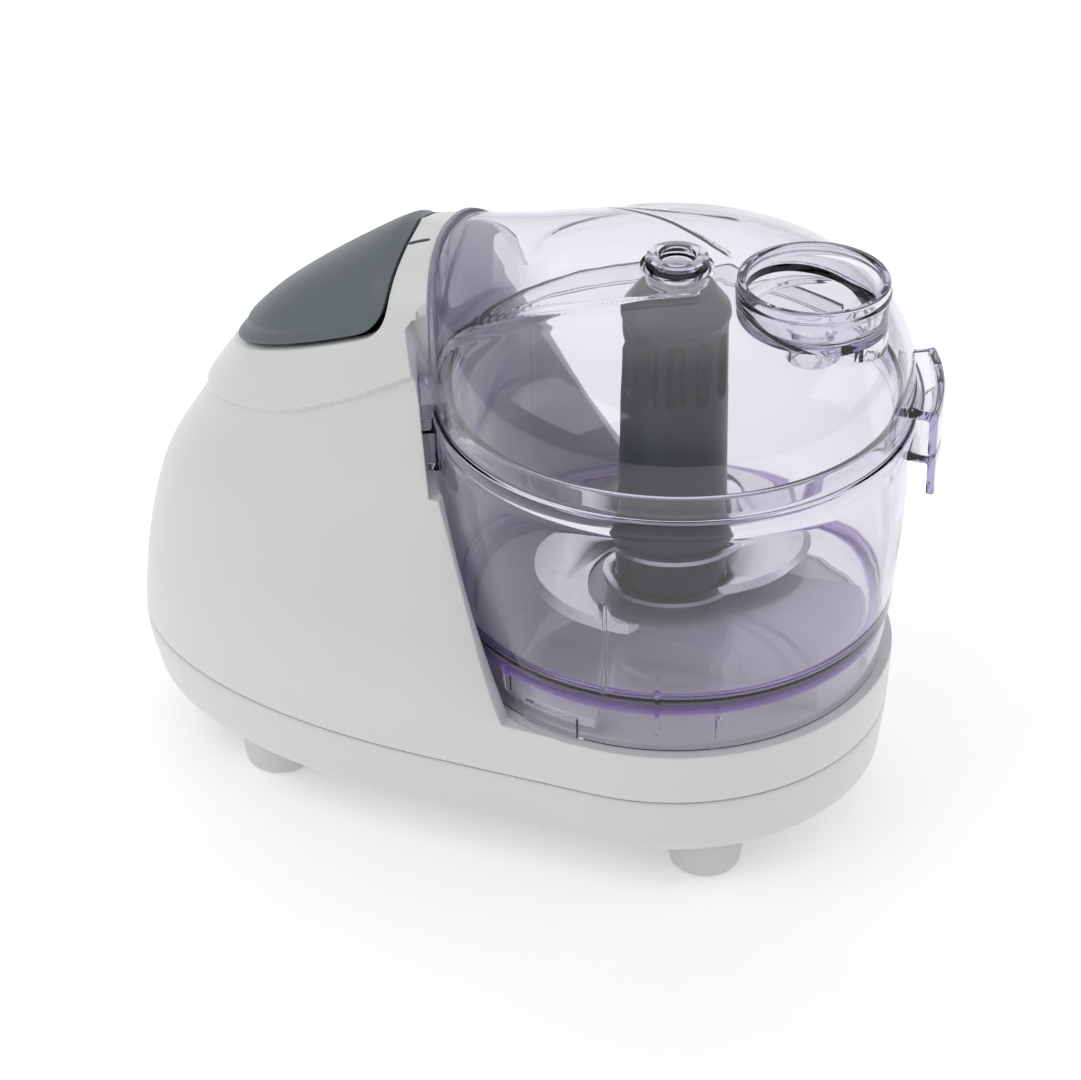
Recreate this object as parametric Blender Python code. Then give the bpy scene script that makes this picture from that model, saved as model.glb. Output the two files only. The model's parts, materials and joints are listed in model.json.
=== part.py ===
"""A mini food processor: belt-driven chopping bowl beside a motor tower.

Lengths in this file are in millimetres and are turned into metres when a mesh is made.
Shapes are drawn in bowl coordinates: x = y = 0 is the axis of the bowl, z = 0 is the table.
-X points to the motor tower and -Y to the front. The origin of the finished part is on the
table, under the middle of its bounding box.
"""
from math import asin, atan2, ceil, cos, degrees, pi, radians, sin

import bmesh
import bpy
from mathutils import Matrix, Vector

# ---------------------------------------------------------------- driving dimensions (mm)
MM = 0.001
GAP = 0.3
RUN_FIT = 1.03
BOWL_X = 41.68
WALL = 2.2

GROUND_CLEARANCE = 12.5
PARTING_Z = 30.1
DECK_Z = 45.4
TOWER_TOP_Z = 157.5
DECK_THICKNESS = 2.5
SIDE_START_X = -48.0
SECTION_POWER = 2.2

# Lofting stations of the housing: height, reach behind the bowl axis, half width.
STATIONS = (
    (12.5, 149.5, 58.9),
    (30.0, 153.5, 60.6),
    (46.0, 152.3, 60.3),
    (58.0, 150.7, 57.6),
    (72.0, 147.6, 52.4),
    (90.0, 139.8, 45.8),
    (110.0, 127.8, 39.4),
    (125.0, 115.9, 33.9),
    (138.0, 100.8, 28.3),
    (148.0, 86.2, 23.6),
    (154.0, 77.0, 15.5),
    (157.5, 71.0, 1.0),
)
BOWL_END_RADIUS = ((12.5, 57.9), (30.0, 59.7), (44.0, 60.4))

WELL_FOOT_R = 60.9
WELL_RIM_R = 64.4
WELL_RIM_Z = 119.0
CHANNEL_R = 67.2
CHANNEL_Z = 99.5
CHANNEL_ANGLES = (201.5, 228.0)
NOTCH_TOP_Z = 139.0
NOTCH_INNER_Y = 22.0

PEDESTAL_R = 53.0
PEDESTAL_TOP_Z = 56.5
TOWER_BOSS_R = 8.8
TOWER_BOSS_BORE_R = 6.3
TOWER_BOSS_TOP_Z = 92.0

BUTTON_SLOPE = 0.42
BUTTON_EDGE_Z = 166.0
BUTTON_FRONT_X = -71.3
BUTTON_RISE = 1.2
BUTTON_THICKNESS = 3.0
BUTTON_GAP = 1.6
PIVOT_X = -97.0
PIVOT_OFFSET = 3.0
PIVOT_R = 1.5
BLOCK_TOP_Z = 116.0

BOWL_RIM_R = 63.6
BOWL_RIM_Z = 119.0
NECK_R = 60.2
NECK_TOP_Z = 125.2
BOWL_FOOT_R = 59.5
BOWL_FLOOR_Z = 58.7
BOWL_FLOOR_TOP_Z = 61.3
SKIRT_R = 57.9
TUBE_OUTER_R = 11.0
TUBE_INNER_R = 9.3
TUBE_TOP_Z = 100.0

LID_RIM_Z = 119.3
LID_LINE_Z = 125.5
CROWN_R = 62.7
CROWN_HEIGHT = 31.8
CROWN_POWERS = (3.0, 2.5)
TUNNEL_R = 63.4
TUNNEL_HALF_WIDTH = 25.2
TUNNEL_HEIGHT = 31.8
TUNNEL_POWER = 2.57
TUNNEL_FLARE = 35.7
CUP_X = 36.9
CUP_R = 19.6
CUP_TOP_Z = 162.0
LUG_A = (4.0, 32.0)
LUG_B = (203.5, 210.5)
LUG_A_R = 70.3
LUG_B_R = 66.8

HUB_R = 14.6
HUB_FOOT_Z = 63.6
HUB_SHOULDER_Z = 101.6
HUB_TOP_Z = 151.2
FLUTES = 12

SPINDLE_R = 4.0
SPINDLE_HEAD_R = 8.2
SPINDLE_HEAD_Z = (97.0, 110.0)
MOTOR_X = -100.0
PULLEY_Z = (20.0, 31.0)
MOTOR_PULLEY_R = 8.0
DRIVEN_PULLEY_R = 30.0
BELT_THICKNESS = 1.8
STATOR_Z = (52.0, 76.0)
COMMUTATOR_Z = (85.0, 93.0)
SHAFT_R = 3.0

INLET_X = -150.7
INLET_Z = 22.0

FOOT_R = 10.0
FOOT_X = (-101.0, 24.5)
FOOT_Y = 36.8
SCREWS = ((-118.0, 35.0, 46.0), (-118.0, -35.0, 46.0), (26.0, 42.0, 38.0), (26.0, -42.0, 38.0))

BIG_ROUND = 42
SMALL_ROUND = 18


# ---------------------------------------------------------------- scene and materials
def clear_scene():
    for thing in list(bpy.data.objects):
        bpy.data.objects.remove(thing, do_unlink=True)


def make_material(name, colour, roughness, metallic=0.0, alpha=1.0):
    finish = bpy.data.materials.new(name)
    finish.use_nodes = True
    shader = finish.node_tree.nodes["Principled BSDF"]
    shader.inputs["Base Color"].default_value = (*colour, 1.0)
    shader.inputs["Roughness"].default_value = roughness
    shader.inputs["Metallic"].default_value = metallic
    shader.inputs["Alpha"].default_value = alpha
    finish.diffuse_color = (*colour, alpha)
    return finish


def make_empty(name, x, y=0.0, z=0.0):
    empty = bpy.data.objects.new(name, None)
    empty.location = Vector((x + BOWL_X, y, z)) * MM
    empty.empty_display_size = 0.01
    bpy.context.collection.objects.link(empty)
    return empty


def make_object(name, mesh_builder, finish=None, parent=None):
    """Turn a bmesh drawn in bowl coordinates into an object that hangs on its parent empty."""
    bmesh.ops.scale(mesh_builder, vec=(MM, MM, MM), verts=mesh_builder.verts)
    bmesh.ops.recalc_face_normals(mesh_builder, faces=mesh_builder.faces)
    mesh = bpy.data.meshes.new(name)
    mesh_builder.to_mesh(mesh)
    mesh_builder.free()
    mesh.shade_smooth()
    mesh.set_sharp_from_angle(angle=radians(32))
    thing = bpy.data.objects.new(name, mesh)
    bpy.context.collection.objects.link(thing)
    if finish:
        mesh.materials.append(finish)
    bowl_origin = Vector((BOWL_X * MM, 0.0, 0.0))
    if parent:
        thing.parent = parent
        thing.location = bowl_origin - parent.location
    else:
        thing.location = bowl_origin
    return thing


def boolean(target, operation, name, mesh_builder):
    """Add a helper shape to the target: it is cut away, joined on, or kept in common."""
    helper = make_object(name, mesh_builder)
    return boolean_with(target, operation, helper)


def boolean_with(target, operation, helper):
    helper.hide_render = True
    helper.display_type = "WIRE"
    modifier = target.modifiers.new(helper.name, "BOOLEAN")
    modifier.operation = operation
    modifier.solver = "EXACT"
    modifier.object = helper
    return helper


# ---------------------------------------------------------------- shape builders
def turned(profile, steps=SMALL_ROUND, x=0.0, y=0.0, closed=True):
    """Turn an outline of (radius, height) points about an upright axis at x, y."""
    shape = bmesh.new()
    corners = [shape.verts.new((radius, 0.0, height)) for radius, height in profile]
    pairs = list(zip(corners, corners[1:]))
    if closed:
        pairs.append((corners[-1], corners[0]))
    edges = [shape.edges.new(pair) for pair in pairs]
    bmesh.ops.spin(shape, geom=corners + edges, cent=(0, 0, 0), axis=(0, 0, 1),
                   angle=2 * pi, steps=steps)
    bmesh.ops.remove_doubles(shape, verts=shape.verts, dist=2e-3)
    bmesh.ops.translate(shape, vec=(x, y, 0.0), verts=shape.verts)
    return shape


def ring(inner, outer, low, high, steps=SMALL_ROUND, x=0.0, y=0.0):
    return turned([(outer, high), (outer, low), (inner, low), (inner, high)], steps, x, y)


def cylinder(radius, low, high, steps=SMALL_ROUND, x=0.0, y=0.0):
    return turned([(0, high), (radius, high), (radius, low), (0, low)], steps, x, y, closed=False)


def skinned(loops):
    """Skin a row of equal closed loops of points, and cap both ends."""
    shape = bmesh.new()
    rows = [[shape.verts.new(point) for point in loop] for loop in loops]
    count = len(rows[0])
    for row, following in zip(rows, rows[1:]):
        for i in range(count):
            j = (i + 1) % count
            shape.faces.new((row[i], row[j], following[j], following[i]))
    shape.faces.new(list(reversed(rows[0])))
    shape.faces.new(rows[-1])
    return shape


def prism(outline, low, high):
    """An upright prism over an outline of (x, y) points."""
    return skinned([[(x, y, z) for x, y in outline] for z in (low, high)])


def side_prism(outline, near, far):
    """A prism along Y over an outline of (x, z) points."""
    return skinned([[(x, y, z) for x, z in outline] for y in (near, far)])


def box(low, high):
    (x0, y0, z0), (x1, y1, z1) = low, high
    return prism([(x0, y0), (x1, y0), (x1, y1), (x0, y1)], z0, z1)


def sector(profile, angles, step=4.0):
    """Sweep an outline of (radius, height) points between two azimuths, in degrees."""
    start, end = angles
    count = max(2, ceil((end - start) / step))
    turns = [radians(start + (end - start) * i / count) for i in range(count + 1)]
    return skinned([[(r * cos(a), r * sin(a), z) for r, z in profile] for a in turns])


def rod(start, end, radius, steps=12, bore=0.0):
    """A rod, or a tube if it has a bore, between two points."""
    start, end = Vector(start), Vector(end)
    length = (end - start).length
    shape = ring(bore, radius, 0, length, steps) if bore else cylinder(radius, 0, length, steps)
    turn = (end - start).to_track_quat("Z", "Y").to_matrix().to_4x4()
    bmesh.ops.transform(shape, matrix=Matrix.Translation(start) @ turn, verts=shape.verts)
    return shape


def laid_along_x(shape, x, z):
    """Lay an upright turned shape on its side, with its own zero height at x."""
    bmesh.ops.rotate(shape, cent=(0, 0, 0), matrix=Matrix.Rotation(pi / 2, 3, "Y"),
                     verts=shape.verts)
    bmesh.ops.translate(shape, vec=(x, 0, z), verts=shape.verts)
    return shape


def joined(*shapes):
    """Put several loose shapes in one bmesh."""
    whole = shapes[0]
    for extra in shapes[1:]:
        scratch = bpy.data.meshes.new("scratch")
        extra.to_mesh(scratch)
        extra.free()
        whole.from_mesh(scratch)
        bpy.data.meshes.remove(scratch)
    return whole


def rounded_rectangle(half_x, half_y, radius, x=0.0, steps=4):
    points = []
    for quarter, (sx, sy) in enumerate(((1, 1), (-1, 1), (-1, -1), (1, -1))):
        for i in range(steps + 1):
            angle = (quarter + i / steps) * pi / 2
            points.append((x + sx * (half_x - radius) + radius * cos(angle),
                           sy * (half_y - radius) + radius * sin(angle)))
    return points


def smooth_value(stations, column, height):
    """Read one column of the lofting stations at any height, on a smooth curve."""
    heights = [row[0] for row in stations]
    values = [row[column] for row in stations]
    if height <= heights[0]:
        return values[0]
    if height >= heights[-1]:
        return values[-1]
    i = max(k for k, h in enumerate(heights) if h <= height)

    def slope(k):
        if k == 0 or k == len(heights) - 1:
            other = 1 if k == 0 else k - 1
            return (values[other] - values[k]) / (heights[other] - heights[k])
        before = (values[k] - values[k - 1]) / (heights[k] - heights[k - 1])
        after = (values[k + 1] - values[k]) / (heights[k + 1] - heights[k])
        return 0.0 if before * after <= 0 else 2 * before * after / (before + after)

    span = heights[i + 1] - heights[i]
    t = (height - heights[i]) / span
    return ((2 * t**3 - 3 * t**2 + 1) * values[i] + (t**3 - 2 * t**2 + t) * span * slope(i)
            + (3 * t**2 - 2 * t**3) * values[i + 1] + (t**3 - t**2) * span * slope(i + 1))


# ---------------------------------------------------------------- housing
def housing_outline(height, offset=0.0, rear_steps=11, front_steps=7):
    """Plan outline of the housing: an egg-shaped rear, straight sides and a round bowl end."""
    reach = smooth_value(STATIONS, 1, height) + offset + SIDE_START_X
    half = max(smooth_value(STATIONS, 2, height) + offset, 0.4)
    front = min(smooth_value(BOWL_END_RADIUS, 1, height) + offset, half)
    outline = []
    for i in range(2 * rear_steps + 1):
        angle = pi * i / (2 * rear_steps)
        across, along = cos(angle), abs(sin(angle))
        y = half * (1 if across > 0 else -1) * abs(across) ** (2 / SECTION_POWER)
        outline.append((SIDE_START_X - reach * along ** (2 / SECTION_POWER), y))
    for i in range(2 * front_steps + 1):
        angle = -pi / 2 + pi * i / (2 * front_steps)
        outline.append((front * cos(angle), front * sin(angle)))
    return outline


def housing_loft(heights, offset=0.0, drop=0.0, steps=(11, 7)):
    """The housing's skin as a solid; an inner skin is narrower and is shifted down."""
    loops = []
    for height in heights:
        loops.append([(x, y, height - drop) for x, y in housing_outline(height, offset, *steps)])
    return skinned(loops)


def parted_edge_x(height):
    """Where the tower's flank ends, in front of the motor, at a given height."""
    rise = height - DECK_Z
    return -24.3 - 0.5 * rise + 0.0007 * rise**2


TOWER_LEVELS = (PARTING_Z + GAP / 2, 38, 48, 56, 66, 79, 94, 108, 120, 130, 138, 144, 149, 153,
                155.5, TOWER_TOP_Z)
CAVITY_LEVELS = (PARTING_Z - 4, 48, 58, 76, 98, 118, 134, 143, 150.5)


def well_cut():
    """Everything above the deck, the pedestal and the spindle's boss."""
    return turned([(0, 175), (0, TOWER_BOSS_TOP_Z), (TOWER_BOSS_R, TOWER_BOSS_TOP_Z),
                   (TOWER_BOSS_R, PEDESTAL_TOP_Z), (PEDESTAL_R - 1.5, PEDESTAL_TOP_Z),
                   (PEDESTAL_R, PEDESTAL_TOP_Z - 1.5), (PEDESTAL_R + 0.6, DECK_Z),
                   (WELL_FOOT_R, DECK_Z), (WELL_RIM_R, WELL_RIM_Z), (WELL_RIM_R, 175)],
                  BIG_ROUND, closed=False)


def well_wall():
    """What the hollow casing keeps under and behind the well."""
    under, inside = DECK_Z - DECK_THICKNESS, PEDESTAL_R - WALL
    return turned([(TOWER_BOSS_BORE_R, 178), (TOWER_BOSS_BORE_R, PEDESTAL_TOP_Z - WALL),
                   (inside - 0.6, PEDESTAL_TOP_Z - WALL), (inside, under),
                   (WELL_FOOT_R + WALL, under), (WELL_RIM_R + WALL, WELL_RIM_Z),
                   (WELL_RIM_R + WALL, 178)], BIG_ROUND)


def notch_shape(side, offset=0.0):
    """The room in front of the tower's flanks, on one side of the bowl."""
    floor = DECK_Z + 0.7 - (DECK_THICKNESS + 1.1 if offset else 0.0)
    heights = [floor, 60, 78, 96, 112, 126, NOTCH_TOP_Z + offset]
    outline = [(parted_edge_x(z) - 1.1 * offset, z) for z in heights]
    outline += [(outline[-1][0] + 12, NOTCH_TOP_Z + offset + 4), (90, NOTCH_TOP_Z + offset + 4),
                (90, floor)]
    inner = NOTCH_INNER_Y - offset
    return side_prism(outline, *((inner, 95) if side > 0 else (-95, -inner)))


def channel_shape(offset=0.0):
    profile = [(40, CHANNEL_Z - offset), (CHANNEL_R + offset, CHANNEL_Z - offset),
               (CHANNEL_R + offset, 176), (40, 176)]
    low, high = CHANNEL_ANGLES
    return sector(profile, (low - degrees(offset / CHANNEL_R), high))


def button_opening_outline(inset):
    """Side view of the button's region: above a sloping line and behind the arch."""
    front = BUTTON_FRONT_X - 0.6 * inset
    edge = BUTTON_EDGE_Z + inset
    corner = 5.0
    points = [(-150, edge - BUTTON_SLOPE * 150)]
    low = (front, edge + BUTTON_SLOPE * front)
    points.append((low[0] - corner, low[1] - BUTTON_SLOPE * corner))
    points.append((low[0] - 0.35 * corner, low[1] - 0.05 * corner))
    points += [(front, low[1] + 0.8 * corner), (front, 180), (-150, 180)]
    return points


def make_upper_casing(finish):
    casing = make_object("upper_casing", housing_loft(TOWER_LEVELS), finish)
    boolean(casing, "DIFFERENCE", "well", well_cut())
    for side, label in ((-1, "front"), (1, "back")):
        boolean(casing, "DIFFERENCE", f"notch_{label}", notch_shape(side))
    boolean(casing, "DIFFERENCE", "lug_channel", channel_shape())
    cavity = make_object("cavity", housing_loft(CAVITY_LEVELS, -WALL, WALL, (8, 5)))
    boolean(cavity, "DIFFERENCE", "well_wall", well_wall())
    for side, label in ((-1, "front"), (1, "back")):
        boolean(cavity, "DIFFERENCE", f"notch_wall_{label}", notch_shape(side, WALL))
    boolean(cavity, "DIFFERENCE", "channel_wall", channel_shape(WALL))
    boolean_with(casing, "DIFFERENCE", cavity)
    outline = button_opening_outline(0.0)
    boolean(casing, "DIFFERENCE", "button_opening", side_prism(outline, -60, 60))
    bumps = [sector([(51.5, 49.0), (55.4, 49.0), (55.4, 51.6), (51.5, 54.0)], (a, a + 32), 8)
             for a in (238, 358, 118)]
    posts = [cylinder(4.0, PARTING_Z + GAP, top + 6, 10, x, y) for x, y, top in SCREWS]
    boolean(casing, "UNION", "posts_and_bumps", joined(*bumps, *posts))
    ribs = []
    for x, y, top in SCREWS[:2]:
        near, far = sorted((y, 1.28 * y))
        ribs.append(box((x - 1.1, near, PARTING_Z + 1), (x + 1.1, far, top + 5)))
    boolean(casing, "UNION", "post_ribs", joined(*ribs))
    holes = [cylinder(1.9, PARTING_Z - 2, top + 2, 8, x, y) for x, y, top in SCREWS]
    start, end = plunger_ends()
    along = (end - start).normalized()
    holes.append(rod(start - along * 6, end + along * 6, 2.3, 10))
    boolean(casing, "DIFFERENCE", "small_holes", joined(*holes))
    return casing


def make_base_cover(finish):
    top = PARTING_Z - GAP / 2
    shape = [[(x, y, GROUND_CLEARANCE) for x, y in housing_outline(GROUND_CLEARANCE, -1.6)]]
    shape += [[(x, y, z) for x, y in housing_outline(z)] for z in (14.0, 20.0, top)]
    cover = make_object("base_cover", skinned(shape), finish)
    floor = GROUND_CLEARANCE + 2.5
    inner = [[(x, y, z) for x, y in housing_outline(z, -WALL)] for z in (floor, 22, top + 2)]
    boolean(cover, "DIFFERENCE", "tub", skinned(inner))
    bosses = [cylinder(6.0, floor - 1, top, 12, x, y) for x, y, _ in SCREWS]
    bosses.append(cylinder(9.5, floor - 1, floor + 4.5))
    bosses.append(rod((INLET_X - 0.25, 0, INLET_Z), (INLET_X + 4.7, 0, INLET_Z), 5.0, 14))
    boolean(cover, "UNION", "bosses", joined(*bosses))
    cuts = [turned([(0, 8), (3.9, 8), (3.9, 20), (2.0, 20), (2.0, 35), (0, 35)], 10, x, y, False)
            for x, y, _ in SCREWS]
    cuts.append(cylinder(7.0, floor, floor + 8))
    for i in range(7):
        x = MOTOR_X - 15 + 5.0 * i
        cuts.append(box((x - 1.2, -12, 8), (x + 1.2, 12, 20)))
    inlet = turned([(0, -8), (4.1, -8), (4.1, 0), (2.6, 0), (2.6, 12), (0, 12)], 14, closed=False)
    cuts.append(laid_along_x(inlet, INLET_X, INLET_Z))
    boolean(cover, "DIFFERENCE", "cuts", joined(*cuts))
    return cover


def make_feet(finish):
    for x, label in zip(FOOT_X, ("rear", "front")):
        for side, name in ((-1, "left"), (1, "right")):
            profile = [(0, GROUND_CLEARANCE - GAP), (FOOT_R + 0.4, GROUND_CLEARANCE - GAP),
                       (FOOT_R, 5.0), (FOOT_R - 0.8, 1.4), (FOOT_R - 2.4, 0), (0, 0)]
            make_object(f"foot_{label}_{name}",
                        turned(profile, 20, x, side * FOOT_Y, closed=False), finish)


def make_screws(finish):
    for number, (x, y, top) in enumerate(SCREWS, 1):
        profile = [(0, top), (1.2, top), (1.6, top - 2), (1.6, 19.7), (3.5, 19.7), (3.5, 17.4),
                   (0, 17.4)]
        make_object(f"casing_screw_{number}", turned(profile, 10, x, y, closed=False), finish)


def make_grommet(finish):
    """A plain inlet bush for the mains lead, open through the middle."""
    profile = [(1.4, -1.1), (3.4, -1.1), (3.8, -0.7), (3.8, -GAP), (2.3, -GAP), (2.3, 5.0),
               (3.9, 5.0), (3.5, 6.4), (1.4, 6.4)]
    make_object("inlet_grommet", laid_along_x(turned(profile, 14), INLET_X, INLET_Z), finish)


# ---------------------------------------------------------------- button, switch, interlock
def pivot_line(x):
    """Height of the rocker's pivot line at x: parallel to the button's lower edge."""
    return BUTTON_EDGE_Z + BUTTON_SLOPE * x + PIVOT_OFFSET / cos(atan2(BUTTON_SLOPE, 1))


def make_button(finish, parent):
    heights = (118, 122, 127, 132, 137, 142, 147, 151, 154, 156, TOWER_TOP_Z)
    low_heights = (96, 106) + heights
    outer = [[(x, y, z + BUTTON_RISE * max(0, (z - 140) / 17.5)) for x, y in
              housing_outline(z, BUTTON_RISE)] for z in low_heights]
    button = make_object("rocker_button", skinned(outer), finish, parent)
    keep = button_opening_outline(BUTTON_GAP)
    keep[-2:] = [(keep[-2][0], 168), (-140, 168)]
    keep[0] = (-140, BUTTON_EDGE_Z + BUTTON_GAP - BUTTON_SLOPE * 140)
    boolean(button, "INTERSECT", "button_region", side_prism(keep, -50, 50))
    inside = -(BUTTON_THICKNESS - BUTTON_RISE)
    inner = [[(x, y, z + inside) for x, y in housing_outline(z, inside)] for z in (90,) + low_heights]
    boolean(button, "DIFFERENCE", "button_hollow", skinned(inner))
    ears = []
    for x, rise in ((PIVOT_X - 12, 6.2), (PIVOT_X + 10, 13.2)):
        z = pivot_line(x)
        ears.append(box((x - 1.5, -4.5, z - 3.5), (x + 1.5, 4.5, z + rise)))
    boolean(button, "UNION", "pivot_ears", joined(*ears))
    posts = [cylinder(2.6, BLOCK_TOP_Z + 7.3, 135.5, 10, PIVOT_X, y) for y in (-10, 10)]
    boolean(button, "UNION", "spring_posts", joined(*posts))
    reach = 30
    bore = rod((PIVOT_X - reach, 0, pivot_line(PIVOT_X - reach)),
               (PIVOT_X + reach - 8, 0, pivot_line(PIVOT_X + reach - 8)), PIVOT_R + GAP, 10)
    boolean(button, "DIFFERENCE", "pivot_bore", bore)
    return button


def make_switch(plastic, steel, brass):
    low, high = PIVOT_X - 16.5, PIVOT_X + 13.5
    make_object("rocker_pivot_pin",
                rod((low, 0, pivot_line(low)), (high, 0, pivot_line(high)), PIVOT_R, 10), steel)
    top = BLOCK_TOP_Z
    block = make_object("switch_block", box((PIVOT_X - 9, -14, 106), (PIVOT_X + 9, 14, top)), plastic)
    saddles = []
    for x in (PIVOT_X - 6.5, PIVOT_X + 5.0):
        saddles.append(box((x - 1.5, -3.6, top - 1), (x + 1.5, 3.6, pivot_line(x) + 3.0)))
    boolean(block, "UNION", "pin_saddles", joined(*saddles))
    bore = rod((PIVOT_X - 20, 0, pivot_line(PIVOT_X - 20)),
               (PIVOT_X + 20, 0, pivot_line(PIVOT_X + 20)), PIVOT_R + GAP, 10)
    boolean(block, "DIFFERENCE", "saddle_bore", bore)
    for side, label in ((-1, "left"), (1, "right")):
        spring = ring(2.0, 2.8, top + GAP, top + 7.0, 12, PIVOT_X, side * 10.0)
        make_object(f"button_spring_{label}", spring, steel)
    comb = [(PIVOT_X + 7.4, 105.7), (PIVOT_X - 7.4, 105.7)]
    for x in (-7.4, -1.2, 5.0):
        comb += [(PIVOT_X + x, 101.4), (PIVOT_X + x + 2.4, 101.4), (PIVOT_X + x + 2.4, 104.6)]
        comb.append((PIVOT_X + x + 6.2, 104.6))
    comb = comb[:-2]
    for side, label in ((-1, "left"), (1, "right")):
        near, far = sorted((side * 9.0, side * 13.0))
        make_object(f"switch_contacts_{label}", side_prism(comb, near, far), brass)


def plunger_ends():
    """The interlock plunger's inner end and its tip, which meets the lid's rear lug."""
    tip = Vector((-61.1, -25.25, 122.0))
    back = tip - Vector((0.8, -0.6, 0.0)) * 17.0
    return back, tip


def make_interlock(plastic, steel, dark):
    back, tip = plunger_ends()
    direction = (tip - back).normalized()
    parent = make_empty("interlock_axis", *tip)
    make_object("interlock_plunger", rod(back, tip, 1.5, 10), plastic, parent)
    spring_end = back - direction * GAP
    make_object("interlock_spring", rod(spring_end - direction * 6, spring_end, 2.4, 10, 1.6), steel)
    centre = spring_end - direction * 13.5
    make_object("interlock_switch", box(centre - Vector((4.5, 4, 4)), centre + Vector((4.5, 4, 4))), dark)


# ---------------------------------------------------------------- drive
def make_motor(steel, copper, dark, brass, parent):
    low, high = STATOR_Z
    stator = make_object("motor_stator", prism(rounded_rectangle(25, 22, 5, MOTOR_X), low, high), steel)
    boolean(stator, "DIFFERENCE", "stator_bore", cylinder(15.0, low - 5, high + 5, 24, MOTOR_X))
    coils = (("field_coil_upper", high + GAP, high + 6), ("field_coil_lower", low - 6, low - GAP))
    for name, start, end in coils:
        make_object(name, ring(15.6, 21.0, start, end, 20, MOTOR_X), copper)
    bore = SHAFT_R + GAP
    core = [(bore, low - 5), (10, low - 5), (11, low - 1), (14.2, low - 0.6), (14.2, high + 0.6),
            (11, high + 1), (10, high + 5), (bore, high + 5)]
    make_object("armature_core", turned(core, 20, MOTOR_X), dark, parent)
    make_object("commutator", ring(bore, 8.0, *COMMUTATOR_Z, 16, MOTOR_X), copper, parent)
    make_object("motor_shaft", cylinder(SHAFT_R, 18.0, 103.0, 12, MOTOR_X), steel, parent)
    floor = GROUND_CLEARANCE + 2.5 + GAP
    for name, z, reach in (("lower", 36.5, (floor, low - GAP)), ("upper", 96.5, (high + GAP, 97))):
        bracket = make_object(f"motor_bracket_{name}",
                              prism(rounded_rectangle(22, 21, 5, MOTOR_X, 2), z, z + 3.5), steel)
        legs = [cylinder(2.5, reach[0], reach[1], 8, MOTOR_X + sx * 18.5, sy * 17.5)
                for sx in (-1, 1) for sy in (-1, 1)]
        boolean(bracket, "UNION", f"bracket_legs_{name}", joined(*legs))
        boolean(bracket, "DIFFERENCE", f"bracket_bore_{name}",
                cylinder(7.6, z - 5, z + 9, 16, MOTOR_X))
        make_object(f"motor_bearing_{name}",
                    ring(SHAFT_R * RUN_FIT, 7.3, z - 0.6, z + 4.1, 16, MOTOR_X), brass)
    z = sum(COMMUTATOR_Z) / 2
    for side, label in ((-1, "left"), (1, "right")):
        near, far = sorted((side * 8.4, side * 16.0))
        make_object(f"carbon_brush_{label}",
                    box((MOTOR_X - 2.5, near, z - 2.4), (MOTOR_X + 2.5, far, z + 2.4)), dark)
        near, far = sorted((side * 11.0, side * 20.0))
        holder = make_object(f"brush_holder_{label}",
                             box((MOTOR_X - 4.2, near, z - 3.8), (MOTOR_X + 4.2, far, z + 3.8)), brass)
        near, far = sorted((side * 10.0, side * 17.0))
        boolean(holder, "DIFFERENCE", f"brush_slot_{label}",
                box((MOTOR_X - 2.8, near, z - 2.7), (MOTOR_X + 2.8, far, z + 2.7)))


def pulley_profile(radius, bore, low, high):
    return [(bore, high), (radius + 2.0, high), (radius + 2.0, high - 1.2), (radius, high - 1.6),
            (radius, low + 1.6), (radius + 2.0, low + 1.2), (radius + 2.0, low), (bore, low)]


def belt_outline(offset):
    """The belt's path round both pulleys, in plan."""
    small, large = MOTOR_PULLEY_R + offset, DRIVEN_PULLEY_R + offset
    lean = asin((large - small) / abs(MOTOR_X))
    points = []
    for i in range(25):
        angle = -(pi / 2 + lean) + (pi + 2 * lean) * i / 24
        points.append((large * cos(angle), large * sin(angle)))
    for i in range(11):
        angle = pi / 2 + lean + (pi - 2 * lean) * i / 10
        points.append((MOTOR_X + small * cos(angle), small * sin(angle)))
    return points


def make_drive(plastic, steel, rubber, brass, motor_axis, spindle_axis):
    low, high = PULLEY_Z
    make_object("motor_pulley", turned(pulley_profile(MOTOR_PULLEY_R, SHAFT_R + GAP, low, high),
                                       20, MOTOR_X), plastic, motor_axis)
    driven = pulley_profile(DRIVEN_PULLEY_R, SPINDLE_R + GAP, low, high)
    pulley = make_object("driven_pulley", turned(driven, 28), plastic, spindle_axis)
    webs = [ring(9, DRIVEN_PULLEY_R - 4, *band, 20) for band in ((high - 3.5, high + 1), (low - 1, low + 3.5))]
    boolean(pulley, "DIFFERENCE", "webs", joined(*webs))
    belt = make_object("drive_belt", prism(belt_outline(GAP + BELT_THICKNESS), low + 2.2, high - 2.2),
                       rubber)
    boolean(belt, "DIFFERENCE", "belt_inside", prism(belt_outline(GAP), low - 1, high + 1))
    head_low, head_high = SPINDLE_HEAD_Z
    spindle = make_object("drive_spindle", cylinder(SPINDLE_R, 15.6, head_low + 2, 14), steel,
                          spindle_axis)
    hexagon = cylinder(SPINDLE_HEAD_R, head_low, head_high, 6)
    boolean(spindle, "UNION", "spindle_head", hexagon)
    make_object("pulley_circlip", ring(SPINDLE_R + GAP, 7.0, high + GAP, high + 1.3, 14), steel,
                spindle_axis)
    make_object("spindle_bush_lower", ring(SPINDLE_R * RUN_FIT, 6.7, 15.3, 19.4, 16), brass)
    make_object("spindle_bush_upper", ring(SPINDLE_R * RUN_FIT, 6.0, 78.0, 91.0, 16), brass)
    make_object("spindle_seal", ring(SPINDLE_R + GAP, 8.6, TOWER_BOSS_TOP_Z + GAP,
                                     TOWER_BOSS_TOP_Z + 2.6, 16), rubber)


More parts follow.
